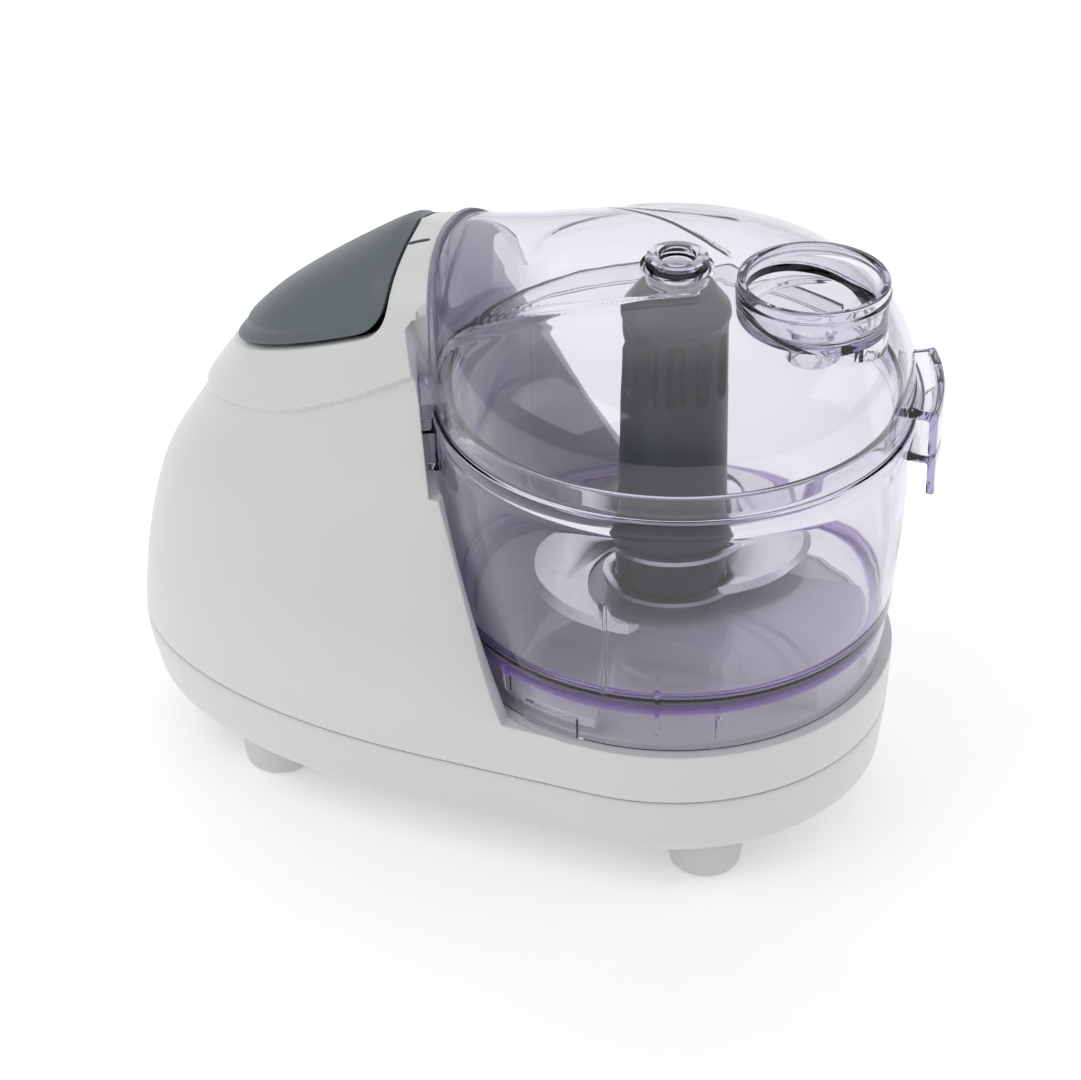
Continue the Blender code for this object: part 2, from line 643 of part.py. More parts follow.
# ---------------------------------------------------------------- bowl, blades, lid
def make_bowl(finish, parent):
    profile = [
        (BOWL_RIM_R, BOWL_RIM_Z), (BOWL_RIM_R, 116.0), (62.4, 98.0), (61.0, 79.0), (BOWL_FOOT_R, 60.2),
        (58.6, 59.2), (SKIRT_R, DECK_Z + GAP), (SKIRT_R - 1.7, DECK_Z + GAP), (56.9, BOWL_FLOOR_Z),
        (TUBE_INNER_R, BOWL_FLOOR_Z), (TUBE_INNER_R, TUBE_TOP_Z), (TUBE_OUTER_R, TUBE_TOP_Z),
        (TUBE_OUTER_R, BOWL_FLOOR_TOP_Z), (54.0, BOWL_FLOOR_TOP_Z), (56.4, 62.4), (57.4, 65.0),
        (59.6, 95.0), (60.0, 112.4), (NECK_R - 2.0, 117.4), (NECK_R - 2.0, NECK_TOP_Z),
        (NECK_R, NECK_TOP_Z), (NECK_R, BOWL_RIM_Z),
    ]
    bowl = make_object("bowl", turned(profile, BIG_ROUND), finish, parent)
    hook = [(61.6, 113.2), (LUG_A_R, 113.2), (LUG_A_R, 101.8), (LUG_A_R - 2.1, 101.8),
            (LUG_A_R - 2.1, 110.8), (61.6, 110.8)]
    stub = [(61.6, 101.5), (LUG_B_R, 102.0), (LUG_B_R, 113.2), (61.9, 113.2)]
    lugs = [sector(hook, LUG_A, 7), sector(stub, LUG_B, 7)]
    foot = [(57.0, 46.2), (59.0, 46.2), (59.3, 52.6), (57.4, 52.6)]
    lugs.append(sector(foot, (250, 266)))
    boolean(bowl, "UNION", "bowl_lugs", joined(*lugs))
    return bowl


def make_washer(finish):
    make_object("thrust_washer", ring(TUBE_INNER_R, TUBE_OUTER_R, TUBE_TOP_Z + GAP,
                                      TUBE_TOP_Z + 1.3, 24), finish)


def blade_outline(start, inner, span, tip):
    """A ring round the hub with one curved wing, in plan; angles in degrees."""
    ring_r = inner + 3.2
    points = []
    outer_steps = 10
    for i in range(outer_steps + 1):
        t = i / outer_steps
        angle = radians(start - 38 + (span + 38) * t)
        radius = ring_r + (tip - ring_r) * sin(t * pi / 2) ** 1.4
        points.append((radius * cos(angle), radius * sin(angle)))
    for i in range(1, outer_steps + 1):
        t = 1 - i / outer_steps
        angle = radians(start + 34 + (span - 30) * t)
        radius = ring_r + (tip - 3.0 - ring_r) * sin(t * pi / 2) ** 1.1
        points.append((radius * cos(angle), radius * sin(angle)))
    last = start + 34
    steps = 14
    for i in range(1, steps):
        angle = radians(last + (360 - 72) * i / steps)
        points.append((ring_r * cos(angle), ring_r * sin(angle)))
    return points


def make_blades(dark, steel, plastic, parent):
    profile = [
        (0, 154.6), (2.8, 154.6), (3.4, 154.0), (3.4, HUB_TOP_Z), (9.4, HUB_TOP_Z - 0.2),
        (10.4, HUB_TOP_Z - 1.0), (14.2, 144.8), (14.4, 143.4), (13.8, 142.6), (13.9, 138.0),
        (14.3, 110.0), (HUB_R, 90.0), (HUB_R, HUB_FOOT_Z), (11.5, HUB_FOOT_Z), (11.5, HUB_SHOULDER_Z),
        (10.9, HUB_SHOULDER_Z), (10.9, 114.0), (8.0, 120.0), (0, 120.0),
    ]
    hub = make_object("blade_hub", turned(profile, 28, closed=False), dark, parent)
    flutes = []
    for i in range(FLUTES):
        angle = 2 * pi * (i + 0.5) / FLUTES
        flutes.append(cylinder(2.3, 123.0, 141.0, 6, 15.2 * cos(angle), 15.2 * sin(angle)))
    boolean(hub, "DIFFERENCE", "hub_flutes", joined(*flutes))
    socket = make_object("drive_socket", cylinder(10.6, HUB_SHOULDER_Z + GAP, 113.7, 20), plastic,
                         parent)
    boolean(socket, "DIFFERENCE", "socket_bore", cylinder(SPINDLE_HEAD_R + 0.5, 95, 120, 6))
    hub_hole = HUB_R + GAP
    for name, z, start in (("lower_blade", 65.2, 20.0), ("upper_blade", 79.0, 200.0)):
        blade = make_object(name, prism(blade_outline(start, hub_hole, 78, 53.0), z, z + 1.5), steel,
                            parent)
        boolean(blade, "DIFFERENCE", f"{name}_eye", cylinder(hub_hole, z - 4, z + 6, 28))


def crown_points(shrink=0.0, steps=8):
    """The lid's outline from its rim to its middle: an upright wall and a shallow crown."""
    sharp, flat = CROWN_POWERS
    reach, height = CROWN_R - shrink, CROWN_HEIGHT - shrink
    points = []
    for i in range(steps + 1):
        angle = pi / 2 * i / steps
        share = cos(angle) ** 1.1
        rise = (1 - share**sharp) ** (1 / flat)
        points.append((reach * share if i < steps else 0.0, LID_LINE_Z + height * rise))
    return points


def tunnel_solid(shrink, sections, foot):
    """The shoulder between crown and tower: arch outlines at (x, extra width, drop)."""
    steps = 18
    loops = []
    for x, widening, drop in sections:
        half, height = TUNNEL_HALF_WIDTH + widening - shrink, TUNNEL_HEIGHT - drop - shrink
        loop = [(x, half, foot)]
        for i in range(steps + 1):
            angle = pi * i / steps
            across = cos(angle)
            y = half * (1 if across > 0 else -1) * abs(across) ** (2 / TUNNEL_POWER)
            loop.append((x, y, LID_LINE_Z + height * abs(sin(angle)) ** (2 / TUNNEL_POWER)))
        loop.append((x, -half, foot))
        loops.append(loop)
    return skinned(loops)


SHOULDER = ((-75, 0, 0), (-61, 0, 0), (-14, TUNNEL_FLARE, 0.1))


def cup_solid():
    return turned([(0, 138.0), (6.6, 138.0), (6.6, 144.8), (18.6, 149.2), (CUP_R, 150.6),
                   (CUP_R, CUP_TOP_Z), (0, CUP_TOP_Z)], 28, CUP_X, closed=False)


def lid_inside():
    """The air under the lid: crown and shoulder, less the dressing cup and the boss."""
    profile = [(0, 118.0), (CROWN_R - WALL, 118.0)] + crown_points(WALL)
    inside = make_object("lid_inside", turned(profile, BIG_ROUND, closed=False))
    hollow = make_object("tunnel_inside", tunnel_solid(WALL, SHOULDER, 121.9))
    boolean(hollow, "INTERSECT", "tunnel_inside_trim", cylinder(61.0, 110, 170, BIG_ROUND))
    boolean_with(inside, "UNION", hollow)
    boolean(inside, "UNION", "room_under_cup", cylinder(CUP_R - WALL, 135, 150, 24, CUP_X))
    boolean(inside, "DIFFERENCE", "cup_in_the_way", cup_solid())
    boolean(inside, "DIFFERENCE", "boss_in_the_way", ring(6.9, 8.2, 152.6, 170, 18))
    return inside


def make_lid(finish, parent):
    outer = [(0, LID_RIM_Z), (CROWN_R, LID_RIM_Z)] + crown_points()
    lid = make_object("lid", turned(outer, BIG_ROUND, closed=False), finish, parent)
    tunnel = make_object("tunnel", tunnel_solid(0.0, SHOULDER, LID_RIM_Z + 0.6))
    boolean(tunnel, "INTERSECT", "tunnel_trim", cylinder(TUNNEL_R, 110, 170, BIG_ROUND))
    boolean_with(lid, "UNION", tunnel)
    flange = make_object("tunnel_flange",
                         tunnel_solid(-0.9, ((-75, 0, 0), (-48, 0, 0)), LID_RIM_Z + 1.0))
    boolean(flange, "INTERSECT", "flange_trim", ring(61.8, TUNNEL_R + 0.6, 110, 170, BIG_ROUND))
    boolean_with(lid, "UNION", flange)
    boss = cylinder(8.2, 155.2, 161.8, 18)
    cup = cylinder(CUP_R, 140.0, CUP_TOP_Z, 28, CUP_X)
    high, low, gap = 126.4, 113.7, 123.6
    outer_lug = [(59.6, high), (LUG_A_R, high), (LUG_A_R, low), (LUG_A_R - 2.1, low),
                 (LUG_A_R - 2.1, gap), (59.6, gap)]
    rear_lug = [(59.6, high), (LUG_B_R, high), (LUG_B_R, 114.2), (64.2, 114.2), (64.2, 119.8),
                (61.8, 120.2), (59.6, 122.6)]
    lugs = (sector(outer_lug, LUG_A, 7), sector(rear_lug, LUG_B, 7))
    boolean(lid, "UNION", "cup_boss_and_lugs", joined(cup, boss, *lugs))
    boolean_with(lid, "DIFFERENCE", lid_inside())
    cup = turned([(0, 175), (0, 134), (5.0, 134), (5.0, 147.0), (CUP_R - WALL, 151.6),
                  (CUP_R - WALL, 175)], 28, CUP_X, closed=False)
    recess = cylinder(4.5, 158.0, 165, 16)
    boolean(lid, "DIFFERENCE", "cup_hollow", joined(cup, recess))
    return lid


def main():
    clear_scene()
    white = make_material("casing_white", (0.80, 0.81, 0.80), 0.28)
    slate = make_material("button_slate", (0.10, 0.125, 0.135), 0.38)
    dark = make_material("dark_plastic", (0.045, 0.052, 0.055), 0.42)
    clear = make_material("clear_plastic", (0.90, 0.88, 0.95), 0.06, alpha=0.35)
    steel = make_material("steel", (0.62, 0.63, 0.65), 0.25, 1.0)
    copper = make_material("copper", (0.72, 0.38, 0.20), 0.35, 1.0)
    brass = make_material("brass", (0.78, 0.60, 0.28), 0.35, 1.0)
    rubber = make_material("rubber", (0.03, 0.03, 0.03), 0.8)
    pale = make_material("pale_plastic", (0.62, 0.63, 0.62), 0.5)
    bowl_axis = make_empty("bowl_axis", 0.0)
    motor_axis = make_empty("motor_axis", MOTOR_X)
    rocker_axis = make_empty("rocker_axis", PIVOT_X, 0.0, pivot_line(PIVOT_X))
    make_upper_casing(white)
    make_base_cover(white)
    make_feet(pale)
    make_screws(steel)
    make_grommet(dark)
    make_button(slate, rocker_axis)
    make_switch(pale, steel, brass)
    make_interlock(pale, steel, dark)
    make_motor(steel, copper, dark, brass, motor_axis)
    make_drive(pale, steel, rubber, brass, motor_axis, bowl_axis)
    make_bowl(clear, bowl_axis)
    make_washer(pale)
    make_blades(slate, steel, pale, bowl_axis)
    make_lid(clear, bowl_axis)
    make_object("lid_centre_bush", ring(3.9, 6.4, 152.9, 154.8, 16), pale, bowl_axis)


main()
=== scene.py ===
"""Visual model of the mini food processor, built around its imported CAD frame.

Shapes are drawn in millimetres in bowl coordinates (x = y = 0 on the bowl's axis, z = 0 on
the table, -X to the motor tower, -Y to the front) and become metres in the row's frame.
"""
import json
from math import ceil, cos, degrees, pi, radians, sin, sqrt

import bmesh
import bpy
from mathutils import Matrix, Vector


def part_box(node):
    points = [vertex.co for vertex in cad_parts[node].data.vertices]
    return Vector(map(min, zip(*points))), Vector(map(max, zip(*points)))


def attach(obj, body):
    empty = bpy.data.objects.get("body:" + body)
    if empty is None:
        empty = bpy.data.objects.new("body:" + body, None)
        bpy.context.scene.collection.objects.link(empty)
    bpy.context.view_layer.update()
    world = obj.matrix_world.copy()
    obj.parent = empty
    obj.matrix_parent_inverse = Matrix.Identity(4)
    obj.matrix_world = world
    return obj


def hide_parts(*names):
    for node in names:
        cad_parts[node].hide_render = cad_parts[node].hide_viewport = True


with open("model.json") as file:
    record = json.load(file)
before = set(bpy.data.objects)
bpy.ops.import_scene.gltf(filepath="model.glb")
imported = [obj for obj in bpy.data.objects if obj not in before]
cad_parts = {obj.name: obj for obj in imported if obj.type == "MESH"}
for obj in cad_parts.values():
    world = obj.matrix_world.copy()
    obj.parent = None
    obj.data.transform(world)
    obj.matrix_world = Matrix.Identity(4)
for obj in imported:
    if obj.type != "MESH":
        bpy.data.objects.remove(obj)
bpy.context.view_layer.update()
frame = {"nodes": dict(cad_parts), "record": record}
NODES = frame["nodes"]

MM = 0.001
GAP = 0.3
WALL = 2.2

bowl_low, bowl_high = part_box("driven_pulley")
BOWL_X = (bowl_low[0] + bowl_high[0]) / 2 / MM

GROUND_CLEARANCE = 12.5
PARTING_Z = 30.1
DECK_Z = 45.4
TOWER_TOP_Z = 157.5
SIDE_START_X = -48.0
SECTION_POWER = 2.2
STATIONS = (
    (12.5, 149.5, 58.9), (30.0, 153.5, 60.6), (46.0, 152.3, 60.3), (58.0, 150.7, 57.6),
    (72.0, 147.6, 52.4), (90.0, 139.8, 45.8), (110.0, 127.8, 39.4), (125.0, 115.9, 33.9),
    (138.0, 100.8, 28.3), (148.0, 86.2, 23.6), (154.0, 77.0, 15.5), (TOWER_TOP_Z, 71.0, 1.0),
)
BOWL_END_RADIUS = ((12.5, 57.9), (30.0, 59.7), (44.0, 60.4))
CREASE = ((-140.0, 101.0), (-128.5, 102.0), (-117.0, 104.7), (-99.0, 110.0), (-81.0, 118.0),
          (-64.0, 127.0), (-50.0, 135.0))
WELL_FOOT_R = 60.9
WELL_RIM_R = 64.4
WELL_RIM_Z = 119.0
CHANNEL_R = 67.2
CHANNEL_Z = 99.5
CHANNEL_ANGLES = (201.5, 228.0)
NOTCH_TOP_Z = 139.0
NOTCH_INNER_Y = 22.0
PEDESTAL_R = 53.0
PEDESTAL_TOP_Z = 56.5
CREASE_DEPTH = 1.7
BUTTON_SLOPE = 0.42
BUTTON_EDGE_Z = 166.0
BUTTON_FRONT_X = -71.3
BUTTON_GAP = 1.6
BUTTON_WALL = 1.8
PIVOT_X = -97.0
PIVOT_BORE_R = 1.8
PIVOT_OFFSET = 3.0
POST_FOOT_Z = 123.9
PLUNGER_TIP = (-61.1, -25.25, 122.0)
PLUNGER_ALONG = (0.8, -0.6, 0.0)
PLUNGER_BORE_R = 2.3
LID_RIM_Z = 119.3
LID_LINE_Z = 125.5
CROWN_R = 62.7
CROWN_HEIGHT = 31.8
TUNNEL_END_X = -61.0
TUNNEL_HALF_WIDTH = 25.2
TUNNEL_POWER = 2.57
SHOULDER_FLARE = 0.76
SHOULDER_STEP = 0.55
FLANGE_LIFT = 0.8
CUP_X = 36.9
CUP_R = 19.6
CUP_TOP_Z = 162.0
LUG_A = (4.0, 32.0)
LUG_B = (203.5, 210.5)
LUG_A_R = 70.3
LUG_B_R = 66.8
HUB_R = 14.6
FLUTES = 12
FLUTE_HALF_WIDTH = 2.3
FLUTE_DEPTH = 1.9
FLUTE_Z = (125.0, 138.6)
BLADE_TIP_R = 53.0
BLADE_SPAN = 78
EDGE_GRIND = 2.4
FOOT_R = 10.0
SENSOR_WIDTH = 36.0
FOCAL_IN_IMAGE_WIDTHS = 4000.0 / 1081.0
SCREWS = ((-118.0, 35.0), (-118.0, -35.0), (26.0, 42.0), (26.0, -42.0))
INLET_X = -150.7
INLET_Z = 22.0
INLET_R = 4.1


# ---------------------------------------------------------------- node materials
class Nodes:
    """A short way to write a shader's node tree."""

    def __init__(self, name):
        self.material = bpy.data.materials.new(name)
        self.material.use_nodes = True
        self.tree = self.material.node_tree
        self.shader = self.tree.nodes["Principled BSDF"]
        self.out = self.tree.nodes["Material Output"]
        self.place = self.tree.nodes.new("ShaderNodeTexCoord").outputs["Object"]

    def add(self, kind, **settings):
        node = self.tree.nodes.new("ShaderNode" + kind)
        for key, value in settings.items():
            setattr(node, key, value)
        return node

    def join(self, source, target):
        self.tree.links.new(source, target)
        return target

    def stretched(self, scale):
        node = self.add("Mapping")
        node.inputs["Scale"].default_value = scale
        self.join(self.place, node.inputs["Vector"])
        return node.outputs["Vector"]

    def noise(self, scale, detail=3.0, rough=0.55, where=None):
        node = self.add("TexNoise")
        self.join(where or self.place, node.inputs["Vector"])
        node.inputs["Scale"].default_value = scale
        node.inputs["Detail"].default_value = detail
        node.inputs["Roughness"].default_value = rough
        return node.outputs["Fac"]

    def spread(self, value, low, high, to_low=0.0, to_high=1.0):
        node = self.add("MapRange")
        self.join(value, node.inputs["Value"])
        for label, number in (("From Min", low), ("From Max", high), ("To Min", to_low),
                              ("To Max", to_high)):
            node.inputs[label].default_value = number
        return node.outputs["Result"]

    def math(self, operation, first, second=0.5):
        node = self.add("Math", operation=operation)
        for socket, value in zip(node.inputs, (first, second)):
            if isinstance(value, (int, float)):
                socket.default_value = value
            else:
                self.join(value, socket)
        return node.outputs[0]

    def blend(self, factor, first, second):
        node = self.add("Mix", data_type="RGBA")
        self.join(factor, node.inputs["Factor"])
        for socket, value in ((node.inputs[6], first), (node.inputs[7], second)):
            if isinstance(value, tuple):
                socket.default_value = (*value, 1.0)
            else:
                self.join(value, socket)
        return node.outputs[2]

    def edges(self, radius):
        """1 along convex and concave edges, 0 on open faces."""
        bevel = self.add("Bevel", samples=4)
        bevel.inputs["Radius"].default_value = radius
        flat = self.add("NewGeometry").outputs["Normal"]
        dot = self.add("VectorMath", operation="DOT_PRODUCT")
        self.join(bevel.outputs["Normal"], dot.inputs[0])
        self.join(flat, dot.inputs[1])
        return self.spread(dot.outputs["Value"], 0.995, 0.80)

    def relief(self, height, strength, distance, soft=0.0):
        bump = self.add("Bump")
        self.join(height, bump.inputs["Height"])
        bump.inputs["Strength"].default_value = strength
        bump.inputs["Distance"].default_value = distance
        if soft:
            bevel = self.add("Bevel", samples=4)
            bevel.inputs["Radius"].default_value = soft
            self.join(bevel.outputs["Normal"], bump.inputs["Normal"])
        self.join(bump.outputs["Normal"], self.shader.inputs["Normal"])

    def finish(self, colour, roughness):
        self.join(colour, self.shader.inputs["Base Color"])
        self.join(roughness, self.shader.inputs["Roughness"])
        return self.material


def moulded(name, colour, worn, low, high, grain, strength, soft=0.0, coat=0.0, dirt=1.0, gloss=0.5):
    """Moulded plastic: faint clouding, fine grain, rubbed patches, hair scratches, worn edges."""
    n = Nodes(name)
    clouds = n.spread(n.noise(22.0, 2.0), 0.25, 0.75)
    shade = tuple(c * (1 - 0.04 * dirt) for c in colour)
    tone = n.blend(clouds, colour, shade)
    specks = n.spread(n.noise(900.0, 2.0), 0.63, 0.74, 0.0, 0.35 * dirt)
    tone = n.blend(specks, tone, tuple(c * 0.86 for c in colour))
    if soft:
        tone = n.blend(n.math("MULTIPLY", n.edges(soft), n.noise(120.0)), tone, worn)
    rubbed = n.spread(n.noise(40.0, 3.0, 0.5), 0.25, 0.75, low, high)
    hairs = n.noise(6.0, 6.0, 0.7, n.stretched((900.0, 20.0, 900.0)))
    rough = n.math("ADD", rubbed, n.spread(hairs, 0.6, 0.75, 0.0, 0.09))
    fine = n.noise(grain, 3.0, 0.6)
    waves = n.noise(95.0, 2.0)
    n.relief(n.math("ADD", fine, n.math("MULTIPLY", waves, 0.8)), strength, 0.0001, soft)
    n.shader.inputs["IOR"].default_value = 1.52
    n.shader.inputs["Specular IOR Level"].default_value = gloss
    n.shader.inputs["Coat Weight"].default_value = coat
    n.shader.inputs["Coat Roughness"].default_value = 0.12
    return n.finish(tone, rough)


def metal(name, colour, second, low, high, streak):
    """Metal with drawn or turned streaks, stain and small dents."""
    n = Nodes(name)
    streaks = n.noise(40.0, 5.0, 0.7, n.stretched(streak))
    tone = n.blend(n.spread(streaks, 0.3, 0.7), colour, second)
    stain = n.spread(n.noise(110.0, 5.0, 0.7), 0.55, 0.75, 0.0, 0.5)
    tone = n.blend(stain, tone, tuple(c * 0.7 for c in second))
    rough = n.spread(n.math("ADD", streaks, n.math("MULTIPLY", stain, 0.4)), 0.3, 0.9, low, high)
    n.relief(streaks, 0.25, 0.0001)
    n.shader.inputs["Metallic"].default_value = 1.0
    return n.finish(tone, rough)


def clear_plastic(name, tint, density, zone, joint):
    """Clear plastic with a violet body tint, moulding waves, smears and fine use marks.

    zone is an inner radius, a furthest x, and a low and a high z, in bowl millimetres: the thick
    joints in it take the joint colour and scatter part of the light.
    """
    n = Nodes(name)
    parts = n.add("SeparateXYZ")
    n.join(n.place, parts.inputs[0])
    flat = n.add("CombineXYZ")
    n.join(n.math("SUBTRACT", parts.outputs[0], BOWL_X * MM), flat.inputs[0])
    n.join(parts.outputs[1], flat.inputs[1])
    length = n.add("VectorMath", operation="LENGTH")
    n.join(flat.outputs[0], length.inputs[0])
    inner, reach_x, low, high = zone
    mask = n.spread(length.outputs["Value"], (inner - 0.4) * MM, (inner + 0.4) * MM)
    mask = n.math("MULTIPLY", mask, n.spread(parts.outputs[2], (low - 0.3) * MM, (low + 0.3) * MM))
    mask = n.math("MULTIPLY", mask, n.spread(parts.outputs[2], (high + 0.5) * MM, (high - 0.5) * MM))
    mask = n.math("MULTIPLY", mask, n.spread(parts.outputs[0], (BOWL_X + reach_x + 2) * MM,
                                             (BOWL_X + reach_x - 2) * MM))
    smears = n.spread(n.noise(42.0, 4.0, 0.6), 0.45, 0.8, 0.008, 0.035)
    hairs = n.spread(n.noise(7.0, 6.0, 0.75, n.stretched((30.0, 30.0, 1300.0))), 0.62, 0.8, 0.0, 0.035)
    haze = n.spread(n.noise(23.0, 3.0), 0.35, 0.75)
    tone = n.blend(haze, tint, tuple(c * 0.985 for c in tint))
    tone = n.blend(mask, tone, joint)
    waves = n.noise(60.0, 2.0)
    n.relief(waves, 0.10, 0.0003)
    n.join(n.spread(mask, 0.0, 1.0, 1.0, 0.7), n.shader.inputs["Transmission Weight"])
    n.shader.inputs["IOR"].default_value = 1.49
    n.shader.inputs["Specular IOR Level"].default_value = 0.24
    n.finish(tone, n.math("ADD", smears, hairs))
    path = n.add("LightPath")
    through = n.add("BsdfTransparent")
    through.inputs["Color"].default_value = (0.93, 0.91, 0.96, 1.0)
    mix = n.add("MixShader")
    n.join(path.outputs["Is Shadow Ray"], mix.inputs["Fac"])
    n.join(n.shader.outputs[0], mix.inputs[1])
    n.join(through.outputs[0], mix.inputs[2])
    n.join(mix.outputs[0], n.out.inputs["Surface"])
    body = n.add("VolumeAbsorption")
    body.inputs["Color"].default_value = (0.44, 0.36, 0.66, 1.0)
    body.inputs["Density"].default_value = density
    n.join(body.outputs[0], n.out.inputs["Volume"])
    return n.material


WHITE = moulded("casing_white", (0.715, 0.722, 0.714), (0.78, 0.78, 0.77), 0.30, 0.36, 2600.0, 0.04,
                0.0006, 0.12, 0.35)
SLATE = moulded("button_slate", (0.118, 0.143, 0.156), (0.21, 0.235, 0.245), 0.36, 0.48, 2200.0,
                0.12, 0.0006)
HUB_SLATE = moulded("hub_slate", (0.017, 0.025, 0.026), (0.05, 0.065, 0.07), 0.30, 0.38, 900.0,
                    0.0, dirt=0.4, gloss=0.25)
PALE = moulded("pale_plastic", (0.62, 0.63, 0.62), (0.74, 0.74, 0.73), 0.42, 0.58, 1900.0, 0.2)
FOOT = moulded("foot_plastic", (0.66, 0.67, 0.67), (0.74, 0.75, 0.75), 0.46, 0.62, 1700.0, 0.3)
DARK = moulded("dark_plastic", (0.045, 0.052, 0.055), (0.12, 0.13, 0.13), 0.38, 0.55, 2000.0, 0.25)
RUBBER = moulded("rubber", (0.028, 0.028, 0.029), (0.07, 0.07, 0.07), 0.68, 0.88, 1400.0, 0.5)
CARBON = moulded("carbon", (0.035, 0.035, 0.037), (0.09, 0.09, 0.09), 0.45, 0.62, 3000.0, 0.5)
GREY_MARK = moulded("mark_grey", (0.045, 0.050, 0.056), (0.1, 0.1, 0.1), 0.4, 0.55, 2200.0, 0.1)
STEEL = metal("steel", (0.62, 0.63, 0.65), (0.50, 0.51, 0.53), 0.16, 0.42, (12.0, 12.0, 700.0))
BLADE = metal("blade_steel", (0.70, 0.71, 0.73), (0.56, 0.57, 0.60), 0.12, 0.36, (900.0, 30.0, 30.0))
COPPER = metal("copper", (0.72, 0.38, 0.20), (0.55, 0.25, 0.12), 0.22, 0.5, (20.0, 20.0, 1400.0))
BRASS = metal("brass", (0.78, 0.60, 0.28), (0.62, 0.45, 0.20), 0.2, 0.48, (15.0, 15.0, 800.0))
BOWL_CLEAR = clear_plastic("bowl_clear", (0.955, 0.953, 0.968), 40.0,
                           (54.0, 200.0, 57.6, 62.2), (0.36, 0.25, 0.60))
LID_CLEAR = clear_plastic("lid_clear", (0.955, 0.953, 0.968), 40.0,
                          (62.7, -52.0, 122.0, 170.0), (0.76, 0.73, 0.84))

BY_SLOT = {"casing_white": WHITE, "button_slate": SLATE, "clear_plastic": BOWL_CLEAR,
           "pale_plastic": PALE, "dark_plastic": DARK, "rubber": RUBBER, "steel": STEEL,
           "copper": COPPER, "carbon": CARBON, "brass": BRASS}


# ---------------------------------------------------------------- mesh helpers
def make(name, shape, material=None, sharp=34.0):
    """Turn a bmesh in bowl millimetres into an object in the frame's metres."""
    bmesh.ops.translate(shape, vec=(BOWL_X, 0.0, 0.0), verts=shape.verts)
    bmesh.ops.scale(shape, vec=(MM, MM, MM), verts=shape.verts)
    bmesh.ops.recalc_face_normals(shape, faces=shape.faces)
    mesh = bpy.data.meshes.new(name)
    shape.to_mesh(mesh)
    shape.free()
    mesh.shade_smooth()
    mesh.set_sharp_from_angle(angle=radians(sharp))
    thing = bpy.data.objects.new(name, mesh)
    bpy.context.scene.collection.objects.link(thing)
    if material:
        mesh.materials.append(material)
    return thing


def cut(target, operation, shape):
    """Apply one boolean at once and throw the cutter away."""
    cutter = make("cutter", shape) if isinstance(shape, bmesh.types.BMesh) else shape
    modifier = target.modifiers.new("cut", "BOOLEAN")
    modifier.operation = operation
    modifier.solver = "EXACT"
    modifier.object = cutter
    settle(target)
    bpy.data.objects.remove(cutter, do_unlink=True)
    return target


def settle(thing):
    """Turn modifiers into plain mesh."""
    graph = bpy.context.evaluated_depsgraph_get()
    mesh = bpy.data.meshes.new_from_object(thing.evaluated_get(graph))
    thing.modifiers.clear()
    old = thing.data
    thing.data = mesh
    bpy.data.meshes.remove(old)


def soften(thing, width, segments=2, angle=38.0, sharp=34.0):
    """Round off the edges left by the cuts, then shade anew."""
    shape = bmesh.new()
    shape.from_mesh(thing.data)
    bmesh.ops.remove_doubles(shape, verts=shape.verts, dist=2e-6)
    bmesh.ops.dissolve_degenerate(shape, edges=shape.edges, dist=1e-6)
    shape.to_mesh(thing.data)
    shape.free()
    modifier = thing.modifiers.new("soft", "BEVEL")
    modifier.width = width * MM
    modifier.segments = segments
    modifier.limit_method = "ANGLE"
    modifier.angle_limit = radians(angle)
    modifier.use_clamp_overlap = True
    modifier.harden_normals = False
    settle(thing)
    thing.data.shade_smooth()
    thing.data.set_sharp_from_angle(angle=radians(sharp))


def fillet(outline, radius=0.6, steps=3):
    """Round each corner of an open or closed (a, b) outline; a third number sets its radius."""
    rounded = []
    count = len(outline)
    for i, corner in enumerate(outline):
        here = Vector(corner[:2])
        size = corner[2] if len(corner) > 2 else radius
        before, after = Vector(outline[i - 1][:2]), Vector(outline[(i + 1) % count][:2])
        reach = min(size, 0.45 * (before - here).length, 0.45 * (after - here).length)
        if reach < 0.02:
            rounded.append(tuple(here))
            continue
        start = here + (before - here).normalized() * reach
        end = here + (after - here).normalized() * reach
        for k in range(steps + 1):
            t = k / steps
            rounded.append(tuple(start * (1 - t) ** 2 + here * 2 * t * (1 - t) + end * t * t))
    return rounded


def turned(profile, steps=96, x=0.0, y=0.0, closed=True):
    """Spin an (r, z) profile about the upright line through x, y."""
    shape = bmesh.new()
    corners = [shape.verts.new((radius, 0.0, height)) for radius, height in profile]
    pairs = list(zip(corners, corners[1:]))
    if closed:
        pairs.append((corners[-1], corners[0]))
    edges = [shape.edges.new(pair) for pair in pairs]
    bmesh.ops.spin(shape, geom=corners + edges, cent=(0, 0, 0), axis=(0, 0, 1), angle=2 * pi,
                   steps=steps)
    bmesh.ops.remove_doubles(shape, verts=shape.verts, dist=2e-3)
    bmesh.ops.translate(shape, vec=(x, y, 0.0), verts=shape.verts)
    return shape


def ring(inner, outer, low, high, steps=48, x=0.0, y=0.0):
    return turned([(outer, high), (outer, low), (inner, low), (inner, high)], steps, x, y)


def cylinder(radius, low, high, steps=48, x=0.0, y=0.0):
    return turned([(0, high), (radius, high), (radius, low), (0, low)], steps, x, y, False)


def skinned(loops):
    """Skin a stack of loops with the same count of points and cap both ends."""
    shape = bmesh.new()
    rows = [[shape.verts.new(point) for point in loop] for loop in loops]
    count = len(rows[0])
    for row, following in zip(rows, rows[1:]):
        for i in range(count):
            j = (i + 1) % count
            shape.faces.new((row[i], row[j], following[j], following[i]))
    shape.faces.new(list(reversed(rows[0])))
    shape.faces.new(rows[-1])
    return shape


